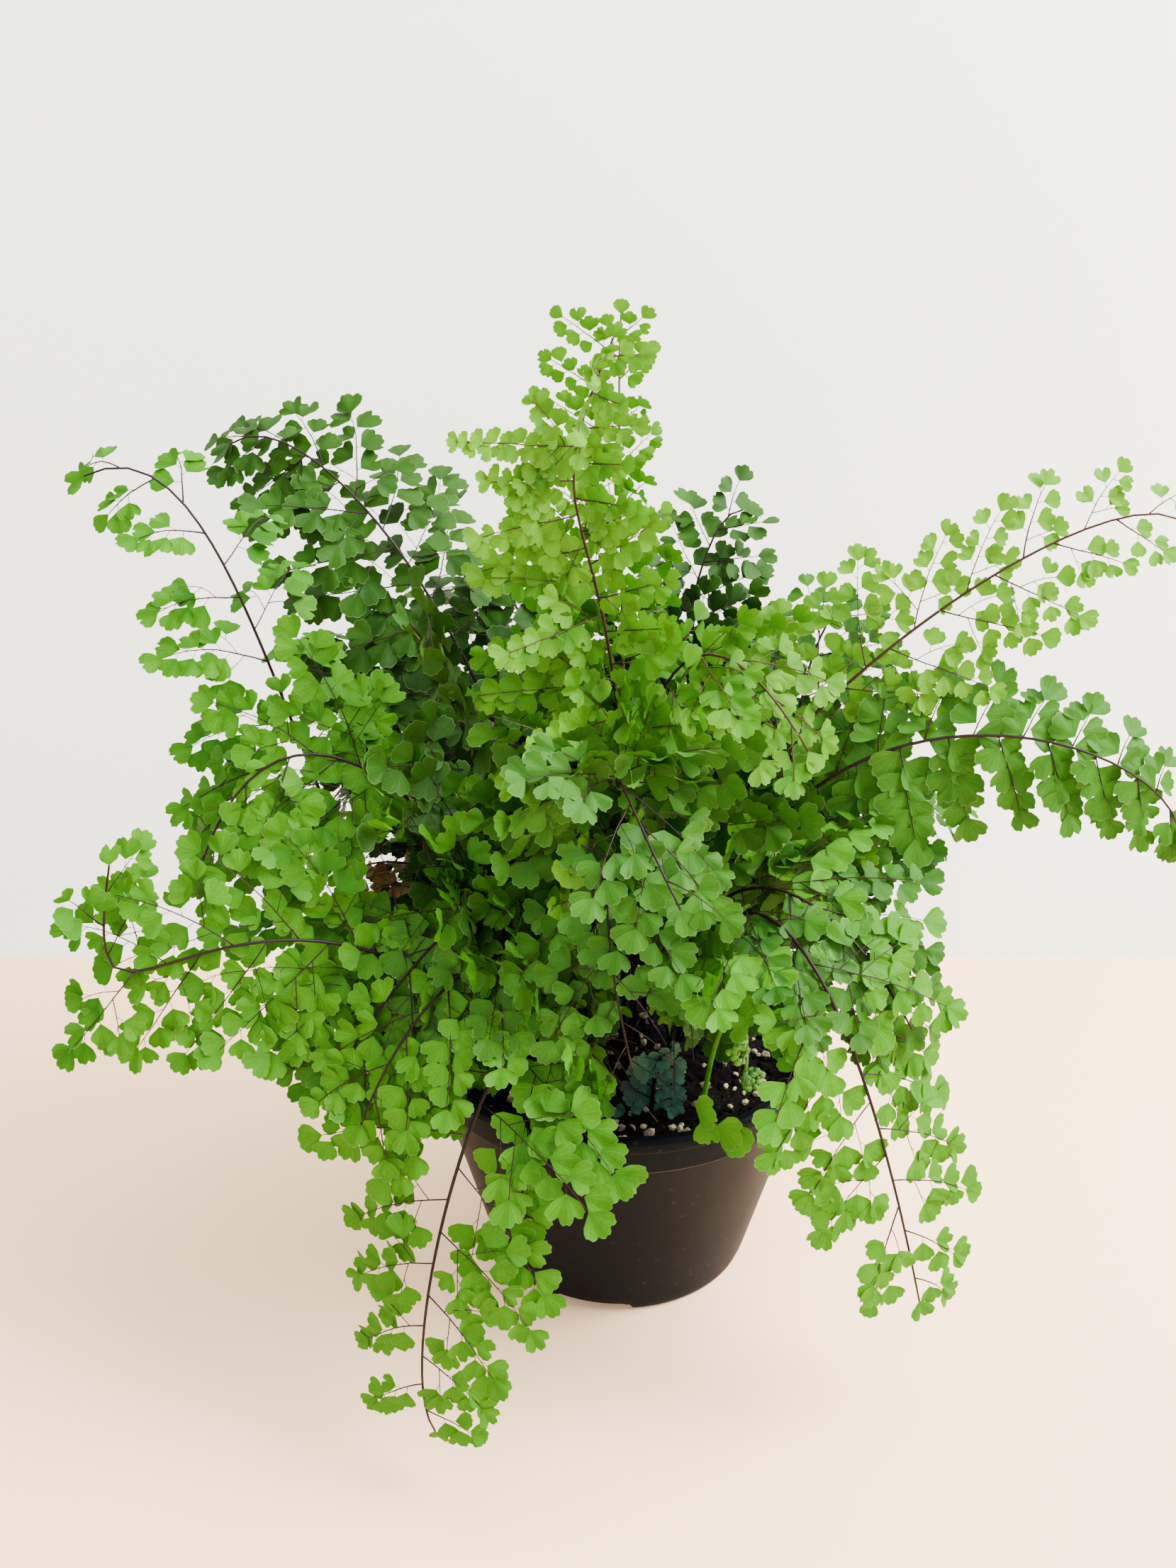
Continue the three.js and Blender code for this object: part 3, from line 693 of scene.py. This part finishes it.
# What a frond is like where it says nothing else. Sizes are in millimetres and turns in degrees.
usual = {
    "stem": "black",
    "pitch": 11,  # between branches on a stalk
    "roll": 0,  # of the branches round the stalk
    "front": 0,  # a further turn of both sides to the front
    "spread": 16,  # how far the branches stray from that
    "swing": 64,  # of a branch off the stalk
    "fall": (12, 12),  # how far the branches on either side hang
    "lengths": (1, 1),  # of the branches on either side
    "faced": (0.3, 0.3),  # how firmly the leaflets on either side turn to the light
    "paler": (0.42, 0.2),  # tone low on the stalk, and how much paler it is at the tip
    "taper": (1.2, 0.37),  # size of the leaflets low on the stalk, and how much smaller they are at the tip
    "bend": 0.36,  # of a branch along the stalk
    "sag": 0.3,
    "bareBranch": 0,  # share of a branch
    "forkPitch": 16,
    "firstLeaf": 0.9,  # this and the next two in leaflet radii
    "leafPitch": 0.5,
    "twig": 0.3,
    "lean": 60,  # of a leaflet off its branch
    "hang": 0.28,
    "uneven": 0.22,  # in tone, from one leaflet to the next
    "fade": 0.2,  # how much paler the end of a branch is
    "shade": 0.9,  # how much painted shade darkens the leaflets in the fern's heart
}

backFrond = {"tone": "mid", "bare": 0.38, "reach": 66.6, "fall": (18, 18), "size": 10.4, "leafPitch": 0.72}

# stalk is the CAD's own curve: its heading, how far out its root stands, and rise, bow and tip in the upright
# plane of that heading. bare is the share below the first branch, reach the length of the lowest branches and
# size the radius of a leaflet. arm is the number of one long branch, and facing the way that leaflets turn.
fronds = {
    "crown_light": {
        "tone": "light", "stem": "brown", "stalk": (268, 10, (5, 13, 352), (19, -45, 284), (35, 0, 386)),
        "bare": 0.36, "size": 10.4, "pitch": 6.5, "reach": 32, "leafPitch": 0.42, "paler": (0.9, -0.3),
        "arm": 31, "swing": 80, "firstLeaf": 0.3, "taper": (1.18, 0.63), "spread": 45, "lengths": (1, 1.6),
        "uneven": 0.4, "twig": 0.15, "front": -34, "lean": 52,
    },
    "crown_young": {
        "tone": "light", "stem": "green", "stalk": (93, 10, (18, -7, 160), (26, 5, 374), (15, 0, 384)),
        "bare": 0.6, "fall": (0, 0), "size": 7.6, "reach": 28, "spread": 50, "pitch": 7.5, "swing": 74,
        "leafPitch": 0.45, "firstLeaf": 0.4, "taper": (1.2, 0.49), "lengths": (1.7, 0.8), "uneven": 0.4,
        "front": 20,
    },
    "upper_left": {
        "tone": "dark", "stalk": (160, 29, (17, -9, 224), (143, -17, 371), (168, 0, 314)), "bare": 0.36,
        "reach": 70.3, "roll": -40, "size": 12, "pitch": 8, "leafPitch": 0.4, "facing": (-0.3, -0.8, 1.0),
        "faced": (1, 1), "fall": (30, 36), "spread": 26, "firstLeaf": 0.3, "twig": 0.15,
        "paler": (0.55, 0.1),
    },
    "far_left": {
        "tone": "fresh", "stalk": (182, 30, (133, 7, 115), (117, 3, 378), (196, 0, 321)), "bare": 0.34,
        "roll": -50, "size": 10, "pitch": 13, "leafPitch": 0.31, "facing": (-0.2, -0.5, 1.1),
        "faced": (1.5, 1.5), "swing": 66, "bareBranch": 0.17, "reach": 50, "fall": (10, 24), "sag": 0.9,
    },
    "left_middle": {
        "tone": "fresh", "stalk": (203, 29, (40, -6, 185), (126, -12, 303), (164, 0, 190)), "bare": 0.36,
        "reach": 70.3, "fall": (18, 18), "roll": -35, "size": 10, "pitch": 9, "spread": 35,
        "leafPitch": 0.35,
    },
    "left_low": {
        "tone": "fresh", "stalk": (210, 30, (152, 35, 286), (219, -15, 104), (191, 0, 229)), "bare": 0.36,
        "reach": 59.2, "fall": (6, 6), "roll": -70, "size": 9.4, "paler": (0.4, 0.2), "leafPitch": 0.44,
    },
    "front_left": {
        "tone": "fresh", "stalk": (230, 26, (35, 6, 181), (109, 4, 194), (145, 0, 120)), "bare": 0.38,
        "reach": 66.6, "fall": (15, 15), "roll": -15, "size": 9.6, "paler": (0.65, 0.2), "leafPitch": 0.44,
    },
    "front_hanging_left": {
        "tone": "fresh", "stalk": (246, 28, (88, 10, 259), (185, -19, 46), (150, 0, 17)), "bare": 0.46,
        "reach": 59.2, "fall": (6, 6), "size": 10, "hang": 0.4, "swing": 84, "bend": 0.1,
        "paler": (0.7, 0.2), "leafPitch": 0.4, "taper": (1.3, 0.6),
    },
    "front_hanging_right": {
        "tone": "fresh", "stalk": (314, 27, (40, -1, 199), (119, -33, 258), (153, 0, 45)), "bare": 0.44,
        "reach": 55.5, "fall": (6, 6), "roll": 15, "size": 10.2, "pitch": 10.5, "hang": 0.4, "swing": 76,
        "bend": 0.15, "paler": (0.7, 0.2), "leafPitch": 0.38, "facing": (0.2, -0.8, 0.5),
        "faced": (0.7, 0.4),
    },
    "lower_left": {
        "tone": "mid", "stalk": (220, 26, (32, 2, 282), (147, 16, 118), (145, 0, 137)), "bare": 0.4,
        "reach": 70.3, "fall": (15, 15), "roll": -20, "size": 9.8, "paler": (1, 0.2), "leafPitch": 0.42,
    },
    "lower_right": {
        "tone": "mid", "stalk": (320, 25, (23, -7, 190), (93, -19, 234), (134, 0, 143)), "bare": 0.36,
        "reach": 70.3, "fall": (15, 15), "roll": 15, "size": 9.8, "leafPitch": 0.44,
        "facing": (0.2, -0.8, 0.5), "faced": (0.7, 0.7),
    },
    "right_middle": {
        "tone": "mid", "stalk": (348, 30, (25, -7, 288), (206, -8, 253), (202, 0, 198)), "bare": 0.42,
        "size": 10.8, "fall": (-50, 80), "fade": 0.6, "facing": (0.1, -1.0, 0.3), "faced": (1.2, 2),
        "twig": 0.08, "pitch": 8.5, "reach": 42, "sag": 0.1, "swing": 86, "leafPitch": 0.3, "forkPitch": 99,
        "firstLeaf": 0.1, "lengths": (0.6, 1), "bend": 0.05, "paler": (0.8, 0.25), "taper": (1.3, 0.43),
        "uneven": 0.4,
    },
    "right_high": {
        "tone": "light", "stem": "brown", "stalk": (355, 30, (-42, 3, 168), (169, -7, 355), (196, 0, 308)),
        "bare": 0.38, "reach": 51.8, "fall": (3, 3), "roll": 70, "size": 7.8, "leafPitch": 0.48,
        "bareBranch": 0.15, "paler": (0.6, 0.3),
    },
    "right_back": {
        "tone": "dark", "stalk": (52, 20, (27, 4, 167), (75, 29, 324), (93, 0, 289)), "bare": 0.42,
        "roll": 30, "size": 10.2, "pitch": 7, "leafPitch": 0.38, "reach": 46, "firstLeaf": 0.3,
        "twig": 0.15, "forkPitch": 11, "spread": 40,
    },
    "right_inner": {
        "tone": "mid", "stalk": (20, 19, (72, -41, 190), (59, 10, 239), (95, 0, 275)), "bare": 0.4,
        "reach": 66.6, "roll": 40, "size": 8.6, "pitch": 8,
    },
    "centre_right": {
        "tone": "light", "stem": "brown", "stalk": (323, 14, (-20, 14, 129), (8, -13, 355), (84, 0, 232)),
        "bare": 0.4, "reach": 70.3, "fall": (18, 18), "roll": 20, "size": 9.6, "paler": (0.2, 0.2),
    },
    "centre_front": {
        "tone": "mid", "stalk": (279, 20, (-20, 19, 195), (78, -42, 298), (127, 0, 209)), "bare": 0.42,
        "reach": 74, "size": 10.4, "spread": 35, "pitch": 10,
    },
    "centre_left": {
        "tone": "dark", "stalk": (206, 16, (35, -10, 126), (60, -22, 285), (89, 0, 285)), "bare": 0.38,
        "reach": 74, "roll": -40, "size": 11.6, "spread": 45, "pitch": 10,
    },
    "lower_centre": {
        "tone": "mid", "stalk": (272, 22, (-8, 15, 203), (86, -27, 247), (108, 0, 140)), "bare": 0.44,
        "reach": 62.9, "fall": (9, 9), "size": 10, "spread": 50, "pitch": 8, "paler": (0.6, 0.2),
    },
    "back_right_low": {"stalk": (28, 28, (30, 0, 190), (120, -8, 250), (152, 0, 150)), **backFrond},
    "back_right": {"stalk": (66, 26, (20, 0, 210), (110, 6, 280), (150, 0, 205)), **backFrond},
    "back_middle": {
        "stalk": (98, 28, (30, 0, 190), (130, 10, 230), (155, 0, 110)), **backFrond,
        "tone": "fresh", "fall": (15, 15),
    },
    "back_left": {"stalk": (122, 24, (22, 0, 215), (90, -6, 300), (140, 0, 240)), **backFrond},
    "back_left_low": {
        "stalk": (148, 30, (30, 0, 190), (120, 8, 235), (158, 0, 140)), **backFrond, "tone": "dark",
    },
    "withered": {
        "tone": "withered", "stem": "brown", "stalk": (172, 36, (34, 0, 140), (74, 6, 190), (112, 0, 160)),
        "bare": 0.5, "reach": 37, "fall": (30, 30), "size": 7.6, "shade": 0, "leafPitch": 0.44,
    },
    "plantlet": {
        "tone": "deep", "stalk": (283, 46, (48, 0, 108), (52, 2, 128), (62, 0, 118)), "bare": 0.25,
        "fall": (0, 0), "size": 4.6, "reach": 5, "pitch": 2.5, "facing": (0, -1.2, 0.7), "faced": (1, 1),
        "lengths": (0.75, 0.75), "leafPitch": 0.4, "shade": 0, "firstLeaf": 0.1, "twig": 0.1, "spread": 40,
    },
}

growth = {
    "branchLeast": 9,
    "branchVaries": (0.88, 1.08),
    "branchTaper": 0.65,
    "branchStep": 5,
    "branchRadius": (0.31, 0.15),
    "armLength": 1.7,  # how many times longer an arm is than a common branch there
    "swingLess": 16,  # at the stalk's tip
    "forkAim": (0.62, 0.85),  # along the branch, and to the side
    "forkLength": (0.42, 0.58),  # of the rest of the branch
    "forkRadius": 0.6,
    "forkFirstLeaf": 0.7,
    "forkRoom": 2.2,  # leaflets that the rest of the branch needs room for
    "leafVaries": (0.84, 1.12),
    "leafLess": 0.16,  # at the branch's end
    "leanLess": 22,
    "twigVaries": (0.7, 1.2),
    "twigRadius": 0.13,
    "stalkRadius": (1.0, 0.34),
    "stalkSteps": 40,
    "lower": 0.55,  # the lowest branches stand at this share of the CAD's bare length
    # centre and reach of the painted shade in the fern's heart
    "heart": Vector((0, 25, 200)),
    "heartRadius": 120,
    "overFloor": 4, "offWall": 4.5, "overLip": 1, "overSoil": 2, "inRim": 4,  # room round the pot
    "margin": 0.022,  # share of a side by which a leaflet may leave the CAD's box
}

# openings between the front fronds, where the plantlet, the young frond and the withered one show
openings = [
    {"from": Vector((12, -30, 98)), "to": Vector((6, -150, 177)), "radius": 18, "shows": "plantlet"},
    {"from": Vector((46, -51, 116)), "to": Vector((36, -142, 176)), "radius": 10, "shows": "frond_young"},
    {"from": Vector((-86, 4, 168)), "to": Vector((-68, -140, 238)), "radius": 14, "shows": "withered"},
]


def vary(chance, amount):
    return chance.uniform(-amount, amount)


def jitter(chance, amount):
    return Vector((vary(chance, amount), vary(chance, amount), vary(chance, amount)))


def measure(points):
    lengths = [0]
    for before, after in zip(points, points[1:]):
        lengths.append(lengths[-1] + (after - before).length)
    return lengths


def walk(points, lengths, share):
    # place and direction at a share of a line's length
    wanted = toShare(share) * lengths[-1]
    number = 1
    while number < len(lengths) - 1 and lengths[number] < wanted:
        number += 1
    before, after = points[number - 1], points[number]
    span = lengths[number] - lengths[number - 1]
    return before.lerp(after, (wanted - lengths[number - 1]) / span), (after - before).normalized()


def stalkLine(stalk):
    heading, root, *knots = stalk
    heading = math.radians(heading)
    outward = Vector((math.cos(heading), math.sin(heading), 0))
    sideways = Vector((-math.sin(heading), math.cos(heading), 0))
    knots = [
        (outward * out + sideways * side + upward * height) * mm
        for out, side, height in ((root, 0, soilHeight(root) - 12), *knots)]
    return interpolate_bezier(*knots, 120), sideways


def inOpening(place, name):
    for opening in openings:
        if opening["shows"] == name:
            continue
        axis = opening["to"] - opening["from"]
        share = (place / mm - opening["from"]).dot(axis) / axis.length_squared
        if 0 < share < 1 and (place / mm - opening["from"] - axis * share).length < opening["radius"]:
            return True
    return False


def hasRoom(place):
    # inside the CAD's box, above the floor, and clear of the pot's wall and of the soil
    for axis in range(3):
        spare = (cadHigh[axis] - cadLow[axis]) * growth["margin"]
        if not cadLow[axis] - spare < place[axis] < cadHigh[axis] + spare:
            return False
    if place.z < growth["overFloor"] * mm:
        return False
    reach = math.hypot(place.x, place.y) / mm
    height = place.z / mm
    outside = reach > wallRadius(min(height, potPlan["bandStart"])) + growth["offWall"]
    if outside or height > potPlan["height"] + growth["overLip"]:
        return True
    return height > soilHeight(reach) + growth["overSoil"] and reach < potPlan["bandRadius"] - growth["inRim"]


def addLeaflet(plan, base, aim, normal, size, chance, tone):
    aim = aim.normalized()
    normal = (normal - aim * normal.dot(aim)).normalized()
    across = normal.cross(aim)
    if not hasRoom(base + aim * size) or not hasRoom(base + aim * size * 0.5):
        return False
    if inOpening(base, plan["name"]) or inOpening(base + aim * size, plan["name"]):
        return False
    # painted shade: leaflets near the fern's heart are made darker, standing in for the shade they lie in
    inner = 1 - min((base - growth["heart"] * mm).length / (growth["heartRadius"] * mm), 1)
    tone = max(tone - plan["shade"] * inner, 0)
    turn = Matrix((aim, across, normal)).transposed().to_4x4()
    matrix = Matrix.Translation(base) @ turn @ Matrix.Scale(size, 4)
    plan["leaflets"].append((matrix, chance.randrange(len(leaflets)), tone))
    return True


def growBranch(plan, start, aim, normal, toward, length, isFork, chance):
    size = plan["size"] * plan["scale"] * mm
    count = max(4, round(length / (growth["branchStep"] * mm)))
    points = [start]
    aims = [aim.normalized()]
    for step in range(count):
        share = (step + 1) / count
        bent = aim + toward * (plan["bend"] * share) - upward * (plan["sag"] * share * share)
        bent += jitter(chance, 0.05)
        aims.append(bent.normalized())
        points.append(points[-1] + aims[-1] * (length / count))
    lengths = measure(points)
    side = 1 if chance.random() < 0.5 else -1
    pitch = plan["leafPitch"] * size
    at = max(size * (growth["forkFirstLeaf"] if isFork else plan["firstLeaf"]), plan["bareBranch"] * length)
    forks = 0 if isFork else int(length / (plan["forkPitch"] * mm))
    brightness = plan["bright"] + vary(chance, 0.12)
    while at < length - 0.3 * size:
        share = at / length
        place, along = walk(points, lengths, share)
        plane = (normal - along * normal.dot(along)).normalized()
        across = plane.cross(along) * side
        side = -side
        if forks > 0 and length - at > growth["forkRoom"] * size:
            forks -= 1
            fork = along * growth["forkAim"][0] + across * growth["forkAim"][1]
            reach = (length - at) * chance.uniform(*growth["forkLength"])
            growBranch(plan, place, fork, plane, along * 0.6, reach, True, chance)
            at += pitch * 0.9
            continue
        lean = math.radians(plan["lean"] - growth["leanLess"] * share + vary(chance, 12))
        aimed = along * math.cos(lean) + across * math.sin(lean) - upward * plan["hang"]
        twig = plan["twig"] * size * chance.uniform(*growth["twigVaries"])
        foot = place + aimed.normalized() * twig
        face = plane + plan["facing"] + jitter(chance, 0.26)
        scale = size * chance.uniform(*growth["leafVaries"]) * (1 - growth["leafLess"] * share)
        tone = toShare(brightness + vary(chance, plan["uneven"]) + plan["fade"] * share)
        if addLeaflet(plan, foot, aimed, face, scale, chance, tone):
            plan["twigs"].append([(place, growth["twigRadius"]), (foot, growth["twigRadius"] * 0.8)])
        at += pitch * chance.uniform(0.85, 1.15)
    face = normal + plan["facing"] + jitter(chance, 0.25)
    tone = toShare(brightness + vary(chance, 0.15) + 0.15)
    addLeaflet(plan, points[-1], aims[-1], face, size * chance.uniform(0.8, 1.0), chance, tone)
    thick, thin = growth["branchRadius"]
    thick = thick * growth["forkRadius"] if isFork else thick
    plan["branches"].append(
        [(point, thick + (thin - thick) * number / count) for number, point in enumerate(points)])


def tubes(lines, rounding):
    # lines of (place, radius in millimetres), made by a bevelled curve and turned into a mesh
    curve = bpy.data.curves.new("tubes", "CURVE")
    curve.dimensions = "3D"
    curve.bevel_depth = mm
    curve.bevel_resolution = rounding
    curve.use_fill_caps = True
    for line in lines:
        spline = curve.splines.new("POLY")
        spline.points.add(len(line) - 1)
        for point, (place, radius) in zip(spline.points, line):
            point.co = (*place, 1)
            point.radius = radius
    holder = bpy.data.objects.new("tubes", curve)
    mesh = bpy.data.meshes.new_from_object(holder)
    bpy.data.objects.remove(holder)
    bpy.data.curves.remove(curve)
    return mesh


def addTubes(bm, lines, rounding, firstAge, lastAge):
    if not lines:
        return
    part = bmesh.new()
    source = tubes(lines, rounding)
    part.from_mesh(source)
    bpy.data.meshes.remove(source)
    bmesh.ops.remove_doubles(part, verts=part.verts, dist=1e-6)
    bmesh.ops.recalc_face_normals(part, faces=part.faces)
    # each vertex takes the age of the nearest point of a line
    tree = KDTree(sum(len(line) for line in lines))
    ages = []
    for line in lines:
        for number, (place, radius) in enumerate(line):
            tree.insert(place, len(ages))
            ages.append(firstAge + (lastAge - firstAge) * number / (len(line) - 1))
    tree.balance()
    layer = part.verts.layers.float.new("age")
    for vert in part.verts:
        vert[layer] = ages[tree.find(vert.co)[1]]
    joined = toMesh("part", part)
    bm.from_mesh(joined)
    bpy.data.meshes.remove(joined)


def stalkTube(line, lengths, end, steps, radii):
    thick, thin = radii
    shares = [end * step / steps for step in range(steps + 1)]
    return [(walk(line, lengths, share)[0], thick + (thin - thick) * share) for share in shares]


def rolled(sideways, along, roll):
    lateral = (sideways - along * sideways.dot(along)).normalized()
    lateral.rotate(Matrix.Rotation(math.radians(roll), 3, along))
    return lateral


def growFrond(name, frond):
    plan = {**usual, **frond, "name": name, "leaflets": [], "twigs": [], "branches": []}
    chance = random.Random(name)
    line, sideways = stalkLine(plan["stalk"])
    lengths = measure(line)
    length = lengths[-1]
    end = 1 - plan["size"] * mm / length
    # leaflets turn up and outwards, and all but those at the back also to the front
    heading = math.radians(plan["stalk"][0])
    outward = Vector((math.cos(heading), math.sin(heading), 0))
    front = math.sqrt(0.5 - 0.5 * math.sin(heading))
    facing = outward * (0.9 - 0.45 * front) + Vector((0, -1.4 * front, 0.6))
    plan["facing"] = facing = Vector(plan.get("facing", facing))
    first = plan["bare"] * growth["lower"]
    count = max(3, round((end - first) * length / (plan["pitch"] * mm)))
    for number in range(count):
        part = number / count
        at = first + (end - first) * part
        place, along = walk(line, lengths, at)
        which = number % 2
        side = 1 - 2 * which
        lateral = rolled(sideways, along, plan["roll"] + plan["front"] * side + vary(chance, plan["spread"]))
        top = along.cross(lateral)
        top = top if top.dot(facing) > 0 else -top
        top = (top + facing * plan["faced"][which]).normalized()
        out = math.radians(plan["swing"] - growth["swingLess"] * at + vary(chance, 8))
        down = math.radians(plan["fall"][which] + vary(chance, 8))
        aim = along * math.cos(out) + lateral * (math.sin(out) * math.cos(down) * side)
        aim -= upward * (math.sin(out) * math.sin(down))
        branch = plan["reach"] * (1 - part) ** growth["branchTaper"] * chance.uniform(*growth["branchVaries"])
        branch = (branch + growth["branchLeast"]) * mm * plan["lengths"][which]
        if number == plan.get("arm"):
            branch *= growth["armLength"]
        plan["bright"] = plan["paler"][0] + plan["paler"][1] * part + vary(chance, 0.14)
        plan["scale"] = plan["taper"][0] - plan["taper"][1] * part
        growBranch(plan, place, aim, top, along, branch, False, chance)
    place, along = walk(line, lengths, end)
    top = along.cross(rolled(sideways, along, plan["roll"]))
    addLeaflet(plan, place, along, top, plan["size"] * plan["scale"] * mm, chance, 0.7)
    leaves = bmesh.new()
    # each leaflet's tone and painted shade go onto its vertices
    for matrix, pattern, toneAndShade in plan["leaflets"]:
        copy = leaflets[pattern].copy()
        copy.transform(matrix)
        copy.attributes["toneAndShade"].data.foreach_set("value", [toneAndShade] * len(copy.vertices))
        leaves.from_mesh(copy)
        bpy.data.meshes.remove(copy)
    tone = plan["tone"]
    finishPiece("leaves_" + name, leaves, leafMaterials[tone], "leaf_" + tone, "frond_" + name)
    stems = bmesh.new()
    stalk = stalkTube(line, lengths, end, growth["stalkSteps"], growth["stalkRadius"])
    addTubes(stems, [stalk], 2, 0, 0.55)
    addTubes(stems, plan["branches"], 0, 0.45, 0.8)
    addTubes(stems, plan["twigs"], 0, 0.75, 1)
    smoothAll(stems)
    finishPiece("stems_" + name, stems, stemMaterials[plan["stem"]], "stem", "frond_" + name)
    return len(plan["leaflets"])


counts = {name: growFrond(name, frond) for name, frond in fronds.items()}
print("leaflets grown:", sum(counts.values()), counts)
shown = [piece for piece in bpy.data.objects if piece.type == "MESH" and not piece.hide_render]
print("triangles:", sum(len(face.vertices) - 2 for piece in shown for face in piece.data.polygons))


# Young frond, still curled

youngPlan = {
    "stalk": (312, 46, (52, 0, 146), (68, 3, 142), (68, 0, 112)),
    "stalkSteps": 30,
    "stalkRadius": (1.1, 0.75),
    "coils": ((0.66, 1, 2.8), (0.85, -1, 3.5), (1, 1, 3.8)),  # share of the stalk, side, radius
    "turns": 1.2,
    "tighter": 0.62,  # how much smaller a coil's radius is at its inner end
    "coilSteps": 26,
    "coilRadius": (1.0, 0.6),
    "neck": 4,
    "knobs": 24,
    "knobSize": 1.8,
    "knobVaries": (0.7, 1.15),
}


def makeYoungMaterial():
    material, tree, shader = newMaterial("young frond")
    marks = useGrain(tree, 900.0, 70.0)
    share = smooth(tree, marks["Patches"], 0.35, 0.65)
    colour = blendColours(tree, share, linear(38, 98, 2), linear(76, 138, 8))
    feed(tree, shader, {
        "Base Color": colour, "Roughness": 0.5, "Subsurface Weight": 0.15,
        "Subsurface Radius": (0.002, 0.003, 0.001), "Normal": relief(tree, marks["Fine"], 0.3, 0.0003)})
    return material


def makeYoung():
    plan = youngPlan
    chance = random.Random("young")
    line, sideways = stalkLine(plan["stalk"])
    lengths = measure(line)
    lines = [stalkTube(line, lengths, 1, plan["stalkSteps"], plan["stalkRadius"])]
    knobs = []
    outer, inner = plan["coilRadius"]
    for at, side, size in plan["coils"]:
        place, tangent = walk(line, lengths, at)
        along = tangent if at == 1 else sideways * side
        across = sideways * side if at == 1 else tangent
        coil = [(place, outer)]
        centre = place + (along * plan["neck"] + across * size) * mm
        for step in range(plan["coilSteps"] + 1):
            share = step / plan["coilSteps"]
            angle = share * plan["turns"] * 2 * math.pi
            reach = size * (1 - plan["tighter"] * share) * mm
            ray = along * math.sin(angle) - across * math.cos(angle)
            coil.append((centre + ray * reach, outer + (inner - outer) * share))
        lines.append(coil)
        axis = along.cross(across)
        for number in range(plan["knobs"]):
            angle = number / plan["knobs"] * plan["turns"] * 2 * math.pi + vary(chance, 0.2)
            reach = size * (1.05 - 0.6 * number / plan["knobs"]) * mm
            ray = along * math.sin(angle) - across * math.cos(angle)
            lift = axis * vary(chance, 2.2) * mm
            knobs.append(centre + ray * (reach + vary(chance, 0.9) * mm) + lift)
    bm = bmesh.new()
    addTubes(bm, lines, 3, 0, 1)
    for knob in knobs:
        size = plan["knobSize"] * chance.uniform(*plan["knobVaries"]) * mm
        addGrain(bm, knob, size, chance, 0.8, True)
    smoothAll(bm)
    finishPiece("youngFrond", bm, makeYoungMaterial(), "young_frond", "frond_young")


makeYoung()
print("young frond made")
